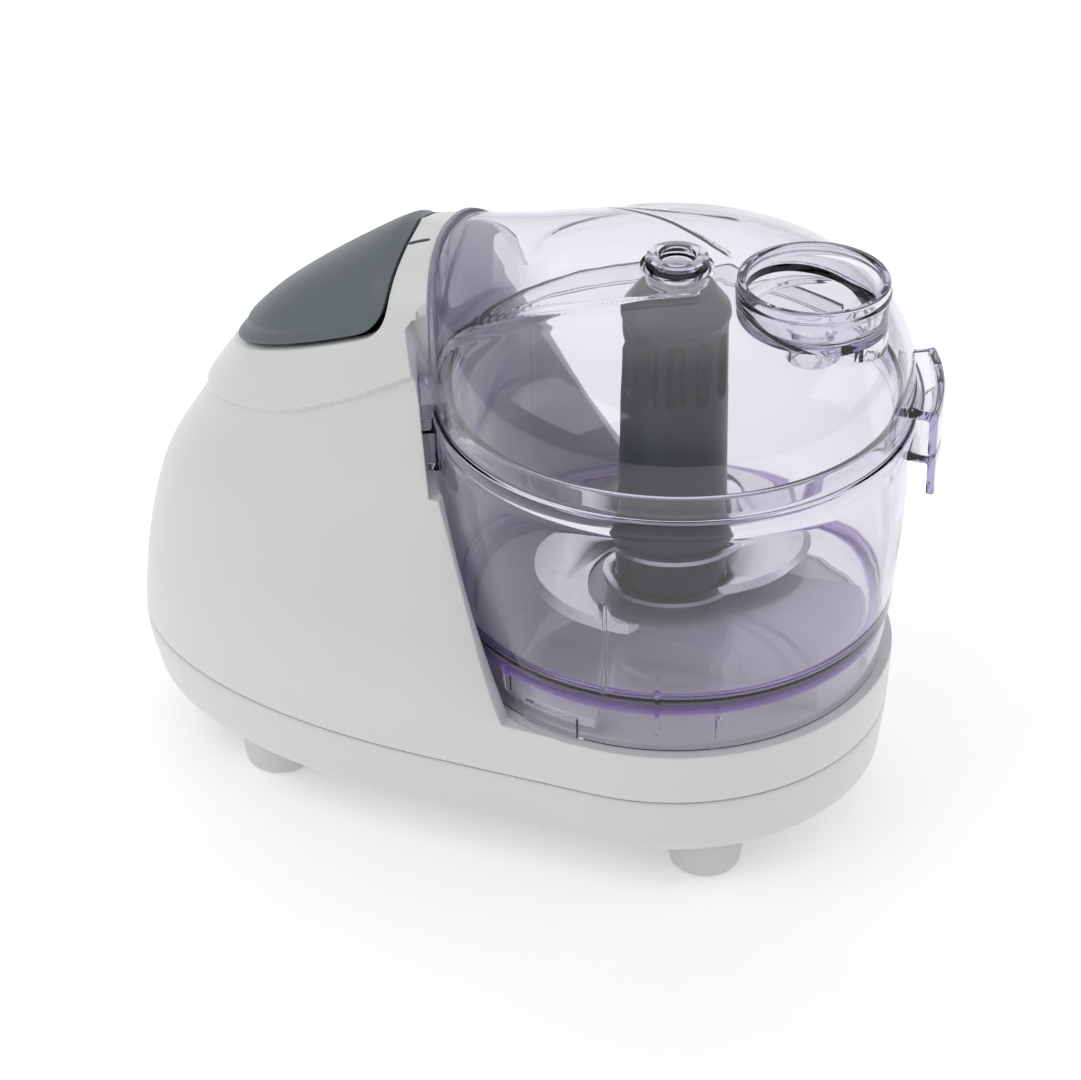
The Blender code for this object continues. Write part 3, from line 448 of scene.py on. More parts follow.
def polar_skin(rows, steps):
    """Skin rows of points round the axis; the first and the last row are single points."""
    shape = bmesh.new()
    top, bottom = shape.verts.new(rows[0]), shape.verts.new(rows[-1])
    loops = [[shape.verts.new(point) for point in row] for row in rows[1:-1]]
    for i in range(steps):
        j = (i + 1) % steps
        shape.faces.new((top, loops[0][i], loops[0][j]))
        shape.faces.new((bottom, loops[-1][j], loops[-1][i]))
        for row, following in zip(loops, loops[1:]):
            shape.faces.new((row[i], following[i], following[j], row[j]))
    return shape


def prism(outline, low, high):
    return skinned([[(x, y, z) for x, y in outline] for z in (low, high)])


def side_prism(outline, near, far):
    """An (x, z) outline carried along y."""
    return skinned([[(x, y, z) for x, z in outline] for y in (near, far)])


def box(low, high):
    (x0, y0, z0), (x1, y1, z1) = low, high
    return prism([(x0, y0), (x1, y0), (x1, y1), (x0, y1)], z0, z1)


def sector(profile, angles, step=1.5):
    """An (r, z) profile turned about the bowl's axis between two angles in degrees."""
    start, end = angles
    count = max(3, ceil((end - start) / step))
    turns = [radians(start + (end - start) * i / count) for i in range(count + 1)]
    return skinned([[(r * cos(a), r * sin(a), z) for r, z in profile] for a in turns])


def rod(start, end, radius, steps=24):
    start, end = Vector(start), Vector(end)
    shape = cylinder(radius, 0, (end - start).length, steps)
    turn = (end - start).to_track_quat("Z", "Y").to_matrix().to_4x4()
    bmesh.ops.transform(shape, matrix=Matrix.Translation(start) @ turn, verts=shape.verts)
    return shape


def joined(*shapes):
    """One bmesh that holds all the shapes."""
    whole = shapes[0]
    for extra in shapes[1:]:
        scratch = bpy.data.meshes.new("scratch")
        extra.to_mesh(scratch)
        extra.free()
        whole.from_mesh(scratch)
        bpy.data.meshes.remove(scratch)
    return whole


def ease(low, high, value):
    """0 below low, 1 above high, smooth between them."""
    t = min(1.0, max(0.0, (value - low) / (high - low)))
    return t * t * (3 - 2 * t)


def spaced(low, high, step):
    count = max(1, round((high - low) / step))
    return [low + (high - low) * i / count for i in range(count + 1)]


def smooth_value(stations, column, height):
    """Read a column of the stations at a height, on a curve that doesn't overshoot."""
    heights = [row[0] for row in stations]
    values = [row[column] for row in stations]
    if height <= heights[0]:
        return values[0]
    if height >= heights[-1]:
        return values[-1]
    i = max(k for k, h in enumerate(heights) if h <= height)

    def slope(k):
        if k == 0 or k == len(heights) - 1:
            other = 1 if k == 0 else k - 1
            return (values[other] - values[k]) / (heights[other] - heights[k])
        before = (values[k] - values[k - 1]) / (heights[k] - heights[k - 1])
        after = (values[k + 1] - values[k]) / (heights[k + 1] - heights[k])
        return 0.0 if before * after <= 0 else 2 * before * after / (before + after)

    span = heights[i + 1] - heights[i]
    t = (height - heights[i]) / span
    return ((2 * t**3 - 3 * t**2 + 1) * values[i] + (t**3 - 2 * t**2 + t) * span * slope(i)
            + (3 * t**2 - 2 * t**3) * values[i + 1] + (t**3 - t**2) * span * slope(i + 1))


# ---------------------------------------------------------------- housing
def housing_outline(height, offset=0.0, rear_steps=30, front_steps=22, inset=None):
    """Plan outline of the housing; inset(x, z) pushes the flanks in at a place."""
    reach = smooth_value(STATIONS, 1, height) + offset + SIDE_START_X
    half = max(smooth_value(STATIONS, 2, height) + offset, 0.3)
    front = min(smooth_value(BOWL_END_RADIUS, 1, height) + offset, half)
    outline = []
    for i in range(2 * rear_steps + 1):
        angle = pi * i / (2 * rear_steps)
        across, along = cos(angle), abs(sin(angle))
        y = half * (1 if across > 0 else -1) * abs(across) ** (2 / SECTION_POWER)
        x = SIDE_START_X - reach * along ** (2 / SECTION_POWER)
        if inset:
            push = inset(x, height)
            out = Vector(((x - SIDE_START_X) / reach**2 * 0.8, y / half**2)).normalized()
            x, y = x - out.x * push, y - out.y * push
        outline.append((x, y))
    for i in range(2 * front_steps + 1):
        angle = -pi / 2 + pi * i / (2 * front_steps)
        outline.append((front * cos(angle), front * sin(angle)))
    return outline


def crease_inset(x, z):
    """The flank steps in just below the crease line and comes back to the skin lower down."""
    line = smooth_value(CREASE, 1, x)
    return CREASE_DEPTH * ease(-0.2, 1.1, line - z) * (1 - ease(3.0, 24.0, line - z))


def parted_edge_x(height):
    """Where the tower's front edge stands at a height."""
    rise = height - DECK_Z
    return -24.3 - 0.5 * rise + 0.0007 * rise**2


def well_cut():
    """The room for the bowl: a tapered well round the raised seat."""
    return turned(fillet([(0, 175, 0), (0, 92, 0), (8.8, 92, 0.5), (8.8, PEDESTAL_TOP_Z, 1.2),
                          (PEDESTAL_R, PEDESTAL_TOP_Z, 1.5), (PEDESTAL_R + 0.6, DECK_Z, 0.8),
                          (WELL_FOOT_R, DECK_Z, 1.0), (WELL_RIM_R, WELL_RIM_Z, 0),
                          (WELL_RIM_R, 175, 0)]), 144, closed=False)


def well_wall():
    """The well with its wall's thickness added, to be kept out of the casing's hollow."""
    under, inside = DECK_Z - 2.5, PEDESTAL_R - WALL
    return turned([(6.3, 178), (6.3, PEDESTAL_TOP_Z - WALL), (inside - 0.6, PEDESTAL_TOP_Z - WALL),
                   (inside, under), (WELL_FOOT_R + WALL, under), (WELL_RIM_R + WALL, WELL_RIM_Z),
                   (WELL_RIM_R + WALL, 178)], 72)


def notch_shape(side, offset=0.0):
    """What the slanted front edge of the tower leaves open beside the bowl."""
    floor = DECK_Z + 0.7 - (3.6 if offset else 0.0)
    heights = [floor] + spaced(52, NOTCH_TOP_Z + offset, 5.0)
    outline = [(parted_edge_x(z) - 1.1 * offset, z) for z in heights]
    corner = outline[-1]
    outline += [(corner[0] + 1.6, corner[1] + 2.6), (corner[0] + 5, corner[1] + 3.8),
                (corner[0] + 12, corner[1] + 4), (90, corner[1] + 4), (90, floor)]
    inner = NOTCH_INNER_Y - offset
    return side_prism(outline, *((inner, 95) if side > 0 else (-95, -inner)))


def channel_shape(offset=0.0):
    """The slot in which the rear lugs of bowl and lid turn."""
    profile = [(40, CHANNEL_Z - offset), (CHANNEL_R + offset, CHANNEL_Z - offset),
               (CHANNEL_R + offset, 176), (40, 176)]
    low, high = CHANNEL_ANGLES
    return sector(profile, (low - degrees(offset / CHANNEL_R), high))


def button_opening_outline(inset, corner=6.5):
    """Side outline of the button's opening: a slanted lower edge and a rounded front corner."""
    front = BUTTON_FRONT_X - 0.6 * inset
    edge = BUTTON_EDGE_Z + inset
    points = [(-150, edge - BUTTON_SLOPE * 150)]
    low = Vector((front, edge + BUTTON_SLOPE * front))
    start = low - Vector((1, BUTTON_SLOPE)).normalized() * corner
    end = low + Vector((0, corner))
    for k in range(7):
        t = k / 6
        points.append(tuple(start * (1 - t) ** 2 + low * 2 * t * (1 - t) + end * t * t))
    return points + [(front, 180), (-150, 180)]


def build_casing():
    """The upper casing: tower, deck and well, hollow, with the button's opening and the crease."""
    low = PARTING_Z + GAP / 2
    heights = [low, low + 0.35] + spaced(31.2, 60, 3.2) + spaced(62, 96, 2.6)
    heights += spaced(97.2, 134, 0.5) + spaced(135, 153, 1.2)
    heights += [154, 155, 155.8, 156.5, 157.1, TOWER_TOP_Z]
    loops = []
    for z in heights:
        offset = -0.45 if z == low else (-0.12 if z == low + 0.35 else 0.0)
        loops.append([(x, y, z) for x, y in housing_outline(z, offset, 76, 24, crease_inset)])
    casing = make("casing_shell", skinned(loops), WHITE)
    cut(casing, "DIFFERENCE", well_cut())
    for side in (-1, 1):
        cut(casing, "DIFFERENCE", notch_shape(side))
    cut(casing, "DIFFERENCE", channel_shape())
    levels = (PARTING_Z - 4, 48, 58, 67, 76, 87, 98, 108, 118, 126, 134, 143, 150.5)
    cavity = make("cavity", skinned([[(x, y, z - WALL) for x, y in housing_outline(z, -WALL, 16, 8)]
                                     for z in levels]))
    cut(cavity, "DIFFERENCE", well_wall())
    for side in (-1, 1):
        cut(cavity, "DIFFERENCE", notch_shape(side, WALL))
    cut(cavity, "DIFFERENCE", channel_shape(WALL))
    cut(casing, "DIFFERENCE", cavity)
    cut(casing, "DIFFERENCE", side_prism(button_opening_outline(0.0), -60, 60))
    bumps = [sector(fillet([(51.5, 49.0), (55.4, 49.0), (55.4, 51.6), (51.5, 54.0)]), (a, a + 32), 3)
             for a in (238, 358, 118)]
    cut(casing, "UNION", joined(*bumps))
    back = Vector(PLUNGER_TIP) - Vector(PLUNGER_ALONG) * 23.0
    cut(casing, "DIFFERENCE", rod(back, back + Vector(PLUNGER_ALONG) * 29.0, PLUNGER_BORE_R))
    soften(casing, 0.55)
    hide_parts("upper_casing")
    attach(casing, "housing")
    build_mark(casing)


def build_base():
    """The base cover with its screw bosses, vents and the round inlet for a lead."""
    top = PARTING_Z - GAP / 2
    heights = ((12.5, -3.4), (12.6, -2.3), (13.1, -1.2), (14.0, -0.45), (15.2, 0.0), (18.0, 0.0),
               (22.0, 0.0), (26.0, 0.0), (top - 0.7, 0.0), (top - 0.35, -0.12), (top, -0.45))
    cover = make("base_shell", skinned([[(x, y, z) for x, y in housing_outline(z, offset)]
                                        for z, offset in heights]), WHITE)
    floor = GROUND_CLEARANCE + 2.5
    cut(cover, "DIFFERENCE", skinned([[(x, y, z) for x, y in housing_outline(z, -WALL - 0.3)]
                                      for z in (floor, 22, top + 2)]))
    bosses = [cylinder(6.0, floor - 1, top - 0.5, 32, x, y) for x, y in SCREWS]
    bosses.append(cylinder(9.5, floor - 1, floor + 4.5))
    cut(cover, "UNION", joined(*bosses))
    holes = [turned([(0, 8), (3.9, 8), (3.9, 20), (2.0, 20), (2.0, 35), (0, 35)], 32, x, y, False)
             for x, y in SCREWS]
    holes.append(cylinder(7.0, floor, floor + 8))
    for i in range(7):
        x = -115 + 5.0 * i
        slot = fillet([(x - 1.2, -12), (x + 1.2, -12), (x + 1.2, 12), (x - 1.2, 12)], 1.1)
        holes.append(prism(slot, 8, 20))
    cut(cover, "DIFFERENCE", joined(*holes))
    inlet = cylinder(INLET_R, -12, 10, 40)
    bmesh.ops.rotate(inlet, cent=(0, 0, 0), matrix=Matrix.Rotation(pi / 2, 3, "Y"), verts=inlet.verts)
    bmesh.ops.translate(inlet, vec=(INLET_X, 0, INLET_Z), verts=inlet.verts)
    cut(cover, "DIFFERENCE", inlet)
    soften(cover, 0.35)
    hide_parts("base_cover")
    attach(cover, "housing")


def build_feet():
    """Four feet with a domed edge and a shallow recess, each in its own CAD node's place."""
    for node in ("foot_front_left", "foot_front_right", "foot_rear_left", "foot_rear_right"):
        low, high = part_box(node)
        x = (low[0] + high[0]) / 2 / MM - BOWL_X
        y = (low[1] + high[1]) / 2 / MM
        top = high[2] / MM
        profile = [(0, top, 0), (FOOT_R + 0.3, top, 0.3), (FOOT_R, 5.0, 0.5), (FOOT_R - 0.7, 0.9, 1.0),
                   (FOOT_R - 2.4, 0.0, 1.0), (FOOT_R - 3.6, 0.0, 0.3), (FOOT_R - 4.0, 0.6, 0.3),
                   (0, 0.6, 0)]
        foot = make(node + "_pad", turned(fillet(profile), 64, x, y, False), FOOT)
        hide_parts(node)
        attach(foot, "housing")


def build_mark(casing):
    """A short dark inlay that lies on the arch, in front of the button."""
    start, end = Vector((-71.6, -9.4)), Vector((-65.8, -7.2))
    along = (end - start).normalized()
    aside = Vector((-along.y, along.x))
    rows = []
    for i in range(13):
        t = i / 12
        half = 0.5 * (1 - (2 * t - 1) ** 8) + 0.05
        row = []
        for share, lift in ((-1.0, -0.3), (-1.0, 0.03), (-0.7, 0.09), (0.0, 0.1), (0.7, 0.09),
                            (1.0, 0.03), (1.0, -0.3)):
            spot = start + (end - start) * t + aside * half * share
            place = Vector(((spot.x + BOWL_X) * MM, spot.y * MM, 0.2))
            hit, where, _, _ = casing.ray_cast(place, Vector((0, 0, -1)))
            row.append((spot.x, spot.y, where.z / MM + lift if hit else 150.0))
        rows.append(row)
    mark = make("arch_mark", skinned(rows), GREY_MARK)
    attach(mark, "housing")


# ---------------------------------------------------------------- button
def build_button():
    """The rocker's cap, proud of the casing's skin, with its pivot ears and spring posts."""
    heights = spaced(96, 153, 0.8)
    heights += [153.8, 154.6, 155.2, 155.8, 156.3, 156.8, 157.2, TOWER_TOP_Z]

    def lip(x, z):
        edge = z - (BUTTON_EDGE_Z + BUTTON_GAP + BUTTON_SLOPE * x)
        front = (BUTTON_FRONT_X - 0.6 * BUTTON_GAP) - x
        return min(edge * 0.92, front)

    loops = []
    for z in heights:
        low, high = housing_outline(z, 0.35, 44, 6), housing_outline(z, 1.25, 44, 6)
        loop = []
        for (xa, ya), (xb, yb) in zip(low, high):
            lift = ease(2.1, 3.6, lip(xb, z))
            crown = 1.2 * max(0.0, (z - 140) / 17.5) * lift
            loop.append((xa + (xb - xa) * lift, ya + (yb - ya) * lift, z + crown))
        loops.append(loop)
    button = make("rocker_cap", skinned(loops), SLATE)
    keep = button_opening_outline(BUTTON_GAP, 7.5)
    keep[-2:] = [(keep[-3][0], 168), (-140, 168)]
    keep[0] = (-140, BUTTON_EDGE_Z + BUTTON_GAP - BUTTON_SLOPE * 140)
    cut(button, "INTERSECT", side_prism(keep, -50, 50))
    inner = [[(x, y, z - BUTTON_WALL) for x, y in housing_outline(z, -BUTTON_WALL, 24, 6)]
             for z in [90] + spaced(96, 153, 3.0) + [155, 156.5, TOWER_TOP_Z]]
    cut(button, "DIFFERENCE", skinned(inner))
    slant = PIVOT_OFFSET * sqrt(1 + BUTTON_SLOPE**2)

    def line(x):
        return BUTTON_EDGE_Z + BUTTON_SLOPE * x + slant

    ears = [box((x - 1.5, -4.5, line(x) - 3.5), (x + 1.5, 4.5, line(x) + rise))
            for x, rise in ((PIVOT_X - 12, 6.2), (PIVOT_X + 10, 13.2))]
    posts = [cylinder(2.6, POST_FOOT_Z, 135.5, 32, PIVOT_X, y) for y in (-10, 10)]
    cut(button, "UNION", joined(*ears, *posts))
    cut(button, "DIFFERENCE", rod((PIVOT_X - 18, 0, line(PIVOT_X - 18)),
                                  (PIVOT_X + 22, 0, line(PIVOT_X + 22)), PIVOT_BORE_R))
    soften(button, 0.7, 3)
    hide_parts("rocker_button")
    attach(button, "button")


# ---------------------------------------------------------------- bowl
def build_bowl():
    """The clear bowl: wall, neck, raised floor, centre tube, skirt, lugs and moulded ribs."""
    profile = [
        (63.6, 119.0, 0.6), (63.6, 116.0, 0.9), (62.9, 114.4, 0.8), (62.4, 98.0, 3), (61.0, 79.0, 3),
        (59.5, 60.6, 0.9), (58.6, 59.6, 0.6), (58.3, 55.0, 1), (57.9, 45.7, 0.5), (56.2, 45.7, 0.5),
        (56.9, 58.7, 0.6), (9.3, 58.7, 0.5), (9.3, 100.0, 0.3), (11.0, 100.0, 0.5), (11.0, 61.3, 1.5),
        (54.0, 61.3, 3.0), (56.4, 62.4, 2.0), (57.4, 65.0, 2.0), (59.6, 95.0, 4), (60.0, 112.4, 3),
        (58.2, 117.4, 2), (58.2, 125.2, 0.8), (60.2, 125.2, 0.7), (60.2, 119.0, 0.5),
    ]
    bowl = make("bowl_shell", turned(fillet(profile, 0.6, 4), 192), BOWL_CLEAR)
    hook = [(61.4, 113.2), (LUG_A_R, 113.2, 1.0), (LUG_A_R, 101.8), (LUG_A_R - 2.0, 101.8),
            (LUG_A_R - 2.0, 110.9), (61.4, 110.9)]
    stub = [(61.4, 101.5), (LUG_B_R, 102.0), (LUG_B_R, 113.2), (61.5, 113.2)]
    lugs = [sector(fillet(hook, 0.7), LUG_A), sector(fillet(stub, 0.7), LUG_B)]
    lugs.append(sector(fillet([(57.0, 46.2), (59.0, 46.2), (59.3, 52.6), (57.4, 52.6)], 0.5),
                       (250, 266)))
    for angle, low, top in ((244.0, 52.5, 61.0), (287.0, 51.5, 66.5), (302.5, 49.5, 57.0)):
        foot, head = 57.6 + (low - 45.7) / 20, 58.2 + (top - 45.7) / 10.5
        lugs.append(sector(fillet([(foot, low), (foot + 1.3, low), (head + 1.0, top), (head - 0.8, top)],
                                  0.3), (angle - 0.6, angle + 0.6), 0.6))
    lugs.append(sector(fillet([(59.9, 63.0), (61.3, 91.5), (58.6, 91.5), (56.6, 63.0)], 0.3),
                       (273.0, 273.9), 0.45))
    cut(bowl, "UNION", joined(*lugs))
    soften(bowl, 0.3, 2, 50)
    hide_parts("bowl")
    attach(bowl, "bowl")


# ---------------------------------------------------------------- lid
LID_TURNS = 216
SHOULDER_EDGE = ((-61.0, 30.0), (-48.0, 32.5), (-35.0, 32.2), (-22.0, 28.5), (-12.6, 25.0),
                 (-2.0, 19.0), (7.2, 13.3), (14.0, 9.0))


def crown_height(radius, reach, height):
    """The lid's drum: an upright wall that rolls into a shallow crown."""
    share = min(radius / reach, 1.0)
    return LID_LINE_Z + height * (1 - share**3.0) ** (1 / 2.5)


def shoulder_height(x, y, shrink, extra):
    """The shoulder flares from the arch over the crown and sinks into it past the middle."""
    half = TUNNEL_HALF_WIDTH + SHOULDER_FLARE * max(0.0, x - TUNNEL_END_X) - shrink + extra
    inside = abs(y) / half
    if inside >= 1:
        return LID_RIM_Z
    height = CROWN_HEIGHT - shrink + extra
    sunk = 2.0 * ease(0.0, 14.0, x) + 24.0 * ease(-45.0, -15.0, x) * ease(26.0, 60.0, abs(y)) ** 2
    return LID_LINE_Z + height * (1 - inside**TUNNEL_POWER) ** (1 / TUNNEL_POWER) - sunk


def lid_height(x, y, shrink, flange):
    """The higher of crown and shoulder, blended, with the shoulder's edge as a low soft step."""
    radius = sqrt(x * x + y * y)
    crown = crown_height(radius, CROWN_R - shrink, CROWN_HEIGHT - shrink)
    if x > 14:
        return crown
    extra = 0.0
    if flange:
        extra = FLANGE_LIFT * ease(CROWN_R - 0.3, CROWN_R, radius)
    shoulder = shoulder_height(x, y, shrink, extra)
    soft = 0.8
    step = ease(-0.9, 0.9, smooth_value(SHOULDER_EDGE, 1, x) - abs(y))
    step *= SHOULDER_STEP * ease(-50.0, -36.0, x) * (1 - ease(7.0, 13.0, x))
    return max(crown, shoulder) + max(soft - abs(crown - shoulder), 0.0) ** 2 / (4 * soft) + step


def lid_rows(shrink, start, foot, flange):
    """Rows of points from the start radius over the rim and down to the foot."""
    rows = []
    count = 84
    for k in range(count + 1):
        u = k / count
        row = []
        for i in range(LID_TURNS):
            a = 2 * pi * i / LID_TURNS
            toward = ease(0.86, 0.95, -cos(a))
            reach = (CROWN_R + toward * (1.3 if flange else 1.7)) - shrink
            radius = start + (reach - start) * (1 - (1 - u) ** 1.7)
            x, y = radius * cos(a), radius * sin(a)
            z = lid_height(x, y, shrink, flange)
            if k == count:
                z -= 0.45 * toward
            row.append((x, y, z))
        rows.append(row)
    edge = rows[-1]
    for share in (0.02, 0.12, 0.35, 0.65, 1.0):
        rows.append([(x, y, z + (foot - z) * share) for x, y, z in edge])
    return rows


def cup_solid():
    """The dressing cup and its spout, filled."""
    return turned(fillet([(0, 138.0, 0), (6.6, 138.0), (6.6, 144.8, 1.5), (18.6, 149.2, 1.5),
                          (CUP_R, 150.6), (CUP_R, CUP_TOP_Z, 0), (0, CUP_TOP_Z, 0)]), 80, CUP_X, 0, False)


def build_lid():
    """The clear lid: drum, shoulder and flange, centre boss, dressing cup, spout and lugs."""
    boss = [(4.3, 158.0), (4.5, 158.2), (4.5, 159.9), (4.8, 160.6), (5.4, 161.0), (7.3, 161.0),
            (8.0, 160.6), (8.3, 159.8), (8.2, 158.0), (8.9, 157.3)]
    ring_rows = [[(r * cos(2 * pi * i / LID_TURNS), r * sin(2 * pi * i / LID_TURNS), z)
                  for i in range(LID_TURNS)] for r, z in boss]
    rows = [(0, 0, 158.0)] + ring_rows + lid_rows(0.0, 9.6, LID_RIM_Z, True) + [(0, 0, LID_RIM_Z)]
    lid = make("lid_shell", polar_skin(rows, LID_TURNS), LID_CLEAR)
    wall = turned(fillet([(12.0, 145.0, 0), (CUP_R, 145.0, 0), (CUP_R, 157.6), (CUP_R + 0.35, 158.2),
                          (CUP_R + 0.35, 159.0), (CUP_R, 159.6), (CUP_R, CUP_TOP_Z, 0.7),
                          (12.0, CUP_TOP_Z, 0)]), 112, CUP_X)
    low_wall = cylinder(CUP_R, 139.0, 160.0, 112, CUP_X)
    high, low, gap = 126.4, 113.7, 123.6
    outer_lug = fillet([(59.6, high), (LUG_A_R, high), (LUG_A_R, low), (LUG_A_R - 2.1, low),
                        (LUG_A_R - 2.1, gap), (59.6, gap)], 0.8)
    rear_lug = fillet([(59.6, high), (LUG_B_R, high), (LUG_B_R, 114.2), (64.2, 114.2), (64.2, 119.8),
                       (61.8, 120.2), (59.6, 122.6)], 0.5)
    cut(lid, "UNION", low_wall)
    cut(lid, "UNION", wall)
    cut(lid, "UNION", joined(sector(outer_lug, LUG_A), sector(rear_lug, LUG_B)))
    inner = [(0, 0, 155.1)] + lid_rows(WALL, 9.0, 118.0, False) + [(0, 0, 118.0)]
    inside = make("lid_inside", polar_skin(inner, LID_TURNS))
    cut(inside, "UNION", cylinder(CUP_R - WALL, 135, 150, 80, CUP_X))
    cut(inside, "DIFFERENCE", cup_solid())
    cut(inside, "DIFFERENCE", ring(6.9, 8.2, 152.6, 170, 64))
    cut(lid, "DIFFERENCE", inside)
    hollow = turned(fillet([(0, 175, 0), (0, 134, 0), (5.0, 134, 0), (5.0, 147.0, 1.5),
                            (CUP_R - WALL, 151.6, 2.0), (CUP_R - WALL, 161.4, 0.4),
                            (CUP_R - WALL + 0.9, 162.2, 0.2), (CUP_R - WALL + 0.9, 175, 0)]), 96,
                    CUP_X, 0, False)
    cut(lid, "DIFFERENCE", hollow)
    soften(lid, 0.35, 2, 50)
    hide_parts("lid")
    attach(lid, "lid")


# ---------------------------------------------------------------- blade unit
def build_hub():
    """The hub with its cone, its collar and a ring of round-ended flutes below the collar."""
    profile = fillet([
        (2.8, 154.6, 0.4), (3.4, 154.0, 0.4), (3.4, 151.2, 0.3), (9.8, 151.0, 1.2), (14.2, 145.2, 1.0),
        (14.4, 143.4, 0.5), (13.75, 142.5, 0.5), (13.8, 138.0, 1), (14.1, 110.0, 5), (14.6, 90.0, 5),
        (14.6, 66.0, 0.8), (14.2, 63.6, 0.6)], 0.6, 4)
    fine = []
    for (ra, za), (rb, zb) in zip(profile, profile[1:]):
        count = max(1, ceil(abs(za - zb) / 0.7))
        fine += [(ra + (rb - ra) * k / count, za + (zb - za) * k / count) for k in range(count)]
    fine.append(profile[-1])
    turns = 320
    rows = [(0, 0, 154.6)]
    for r, z in fine:
        row = []
        for i in range(turns):
            a = 2 * pi * i / turns
            near = ((a - radians(6)) * FLUTES / (2 * pi)) % 1 - 0.5
            across = near * 2 * pi * r / FLUTES
            along = max(0.0, FLUTE_Z[0] - z, z - FLUTE_Z[1])
            away = sqrt(across**2 + along**2) / FLUTE_HALF_WIDTH
            depth = FLUTE_DEPTH * (1 - away**2) ** 0.7 if away < 1 else 0.0
            row.append(((r - depth) * cos(a), (r - depth) * sin(a), z))
        rows.append(row)
    inner = ((11.5, 63.6), (11.5, 101.6), (10.9, 101.6), (10.9, 114.0), (8.0, 120.0))
    rows += [[(r * cos(2 * pi * i / turns), r * sin(2 * pi * i / turns), z) for i in range(turns)]
             for r, z in inner]
    rows.append((0, 0, 120.0))
    hub = make("hub_body", polar_skin(rows, turns), HUB_SLATE, 40)
    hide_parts("blade_hub")
    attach(hub, "blade")


def blade_outline(start, inner, span, tip, inset=0.0):
    """A crescent wing that leaves the eye's ring and ends in a point."""
    ring_r = inner + 3.2
    points = []
    steps = 36
    for i in range(steps + 1):
        t = i / steps
        angle = radians(start - 38 + (span + 38) * t)
        radius = ring_r + (tip - ring_r) * sin(t * pi / 2) ** 1.4
        points.append(((radius - inset) * cos(angle), (radius - inset) * sin(angle)))
    for i in range(1, steps + 1):
        t = 1 - i / steps
        angle = radians(start + 34 + (span - 30) * t)
        radius = ring_r + (tip - 3.0 - ring_r) * sin(t * pi / 2) ** 1.1
        points.append((radius * cos(angle), radius * sin(angle)))
    last = start + 34
    for i in range(1, 48):
        angle = radians(last + 288 * i / 48)
        points.append((ring_r * cos(angle), ring_r * sin(angle)))
    return points


def build_blades():
    """Both wings, ground thin towards their outer edge."""
    for node, start in (("lower_blade", 20.0), ("upper_blade", 200.0)):
        low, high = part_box(node)
        z0, z1 = low[2] / MM, high[2] / MM
        inner = HUB_R + GAP
        wide = blade_outline(start, inner, BLADE_SPAN, BLADE_TIP_R)
        ground = blade_outline(start, inner, BLADE_SPAN, BLADE_TIP_R, EDGE_GRIND)
        loops = [[(x, y, z0) for x, y in wide], [(x, y, z0 + 0.25) for x, y in wide]]
        loops.append([(x, y, z1) for x, y in ground])
        blade = make(node + "_ground", skinned(loops), BLADE, 20)
        cut(blade, "DIFFERENCE", cylinder(inner, z0 - 4, z1 + 6, 72))
        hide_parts(node)
        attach(blade, "blade")


# ---------------------------------------------------------------- carried-over nodes
def finish_nodes():
    """Give every CAD node that stays visible its procedural material."""
    for part in frame["record"]["subparts"]:
        thing = NODES[part["node"]]
        thing.data.materials.clear()
        thing.data.materials.append(BY_SLOT[part["material_slot"]])
        thing.data.shade_smooth()
        thing.data.set_sharp_from_angle(angle=radians(34))


# ---------------------------------------------------------------- camera, floor, light
def add_camera():
    """A long lens, above and to the right of the front."""
    data = bpy.data.cameras.new("camera")
    data.sensor_fit = "HORIZONTAL"
    data.sensor_width = SENSOR_WIDTH
    data.lens = FOCAL_IN_IMAGE_WIDTHS * SENSOR_WIDTH
    data.clip_start, data.clip_end = 0.05, 20.0
    camera = bpy.data.objects.new("camera", data)
    bpy.context.scene.collection.objects.link(camera)
    turn = Matrix(((0.92807, -0.20186, 0.31295), (0.37241, 0.50305, -0.77990),
                   (0.0, 0.84035, 0.54204)))
    place = Vector((303.07 + BOWL_X, -849.52, 655.25)) * MM
    camera.matrix_world = Matrix.Translation(place) @ turn.to_4x4()
    bpy.context.scene.camera = camera


def add_area(name, place, aim, size, power, colour=(1.0, 1.0, 1.0)):
    data = bpy.data.lights.new(name, "AREA")
    data.shape = "RECTANGLE"
    data.size, data.size_y = size
    data.energy = power
    data.color = colour
    light = bpy.data.objects.new(name, data)
    light.location = Vector(place)
    light.rotation_euler = (Vector(aim) - Vector(place)).to_track_quat("-Z", "Y").to_euler()
    bpy.context.scene.collection.objects.link(light)


def add_floor():
    """A wide pale disc under the feet, which glows faintly so that shadows stay light."""
    shape = bmesh.new()
    bmesh.ops.create_circle(shape, cap_ends=True, segments=96, radius=12.0)
    mesh = bpy.data.meshes.new("floor")
    shape.to_mesh(mesh)
    shape.free()
    n = Nodes("floor_pale")
    tone = n.blend(n.noise(3.0, 3.0), (0.965, 0.965, 0.965), (0.955, 0.956, 0.958))
    n.finish(tone, n.spread(n.noise(9.0), 0.3, 0.7, 0.55, 0.7))
    n.shader.inputs["Emission Color"].default_value = (1.0, 1.0, 1.0, 1.0)
    n.shader.inputs["Emission Strength"].default_value = 0.23
    mesh.materials.append(n.material)
    floor = bpy.data.objects.new("floor", mesh)
    bpy.context.scene.collection.objects.link(floor)


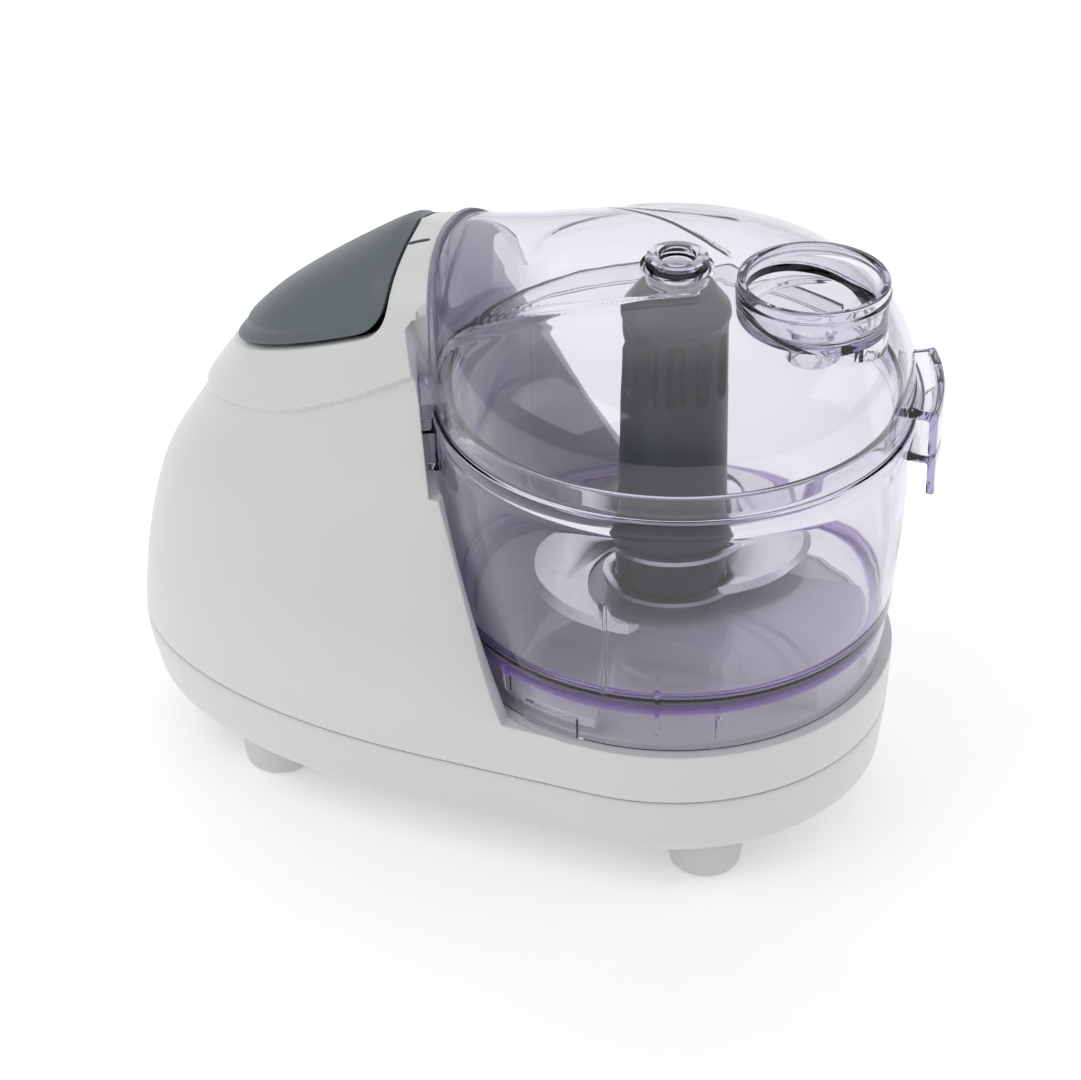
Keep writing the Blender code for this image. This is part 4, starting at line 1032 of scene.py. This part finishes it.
def add_light():
    """A white tent of light with a bright screen behind and a soft key from the front left."""
    world = bpy.data.worlds.new("studio")
    world.use_nodes = True
    tree = world.node_tree
    back = tree.nodes["Background"]
    back.inputs["Color"].default_value = (1.0, 1.0, 1.0, 1.0)
    direction = tree.nodes.new("ShaderNodeTexCoord").outputs["Generated"]
    parts = tree.nodes.new("ShaderNodeSeparateXYZ")
    lift = tree.nodes.new("ShaderNodeMapRange")
    lift.interpolation_type = "SMOOTHSTEP"
    for label, value in (("From Min", 0.1), ("From Max", 1.0), ("To Min", 0.40), ("To Max", 0.80)):
        lift.inputs[label].default_value = value
    tree.links.new(direction, parts.inputs[0])
    tree.links.new(parts.outputs["Z"], lift.inputs["Value"])
    behind = tree.nodes.new("ShaderNodeVectorMath")
    behind.operation = "DOT_PRODUCT"
    behind.inputs[1].default_value = (-0.36, 0.78, 0.51)
    tree.links.new(direction, behind.inputs[0])
    screen = tree.nodes.new("ShaderNodeMapRange")
    screen.interpolation_type = "SMOOTHSTEP"
    for label, value in (("From Min", 0.72), ("From Max", 1.0), ("To Min", 0.0), ("To Max", 0.55)):
        screen.inputs[label].default_value = value
    tree.links.new(behind.outputs["Value"], screen.inputs["Value"])
    total = tree.nodes.new("ShaderNodeMath")
    total.operation = "ADD"
    tree.links.new(lift.outputs["Result"], total.inputs[0])
    tree.links.new(screen.outputs["Result"], total.inputs[1])
    backdrop = tree.nodes.new("ShaderNodeMix")
    backdrop.inputs["B"].default_value = 1.0
    path = tree.nodes.new("ShaderNodeLightPath")
    tree.links.new(path.outputs["Is Camera Ray"], backdrop.inputs["Factor"])
    tree.links.new(total.outputs[0], backdrop.inputs["A"])
    tree.links.new(backdrop.outputs["Result"], back.inputs["Strength"])
    bpy.context.scene.world = world
    add_area("key", (-0.9, -0.9, 1.3), (0.0, 0.0, 0.08), (1.3, 1.3), 5.5)
    add_area("rim", (1.1, 0.7, 0.8), (0.0, 0.0, 0.08), (0.8, 0.9), 2.0)
    bpy.context.scene.view_settings.view_transform = "Standard"


build_casing()
build_base()
build_feet()
build_button()
build_bowl()
build_lid()
build_hub()
build_blades()
finish_nodes()
add_camera()
add_floor()
add_light()
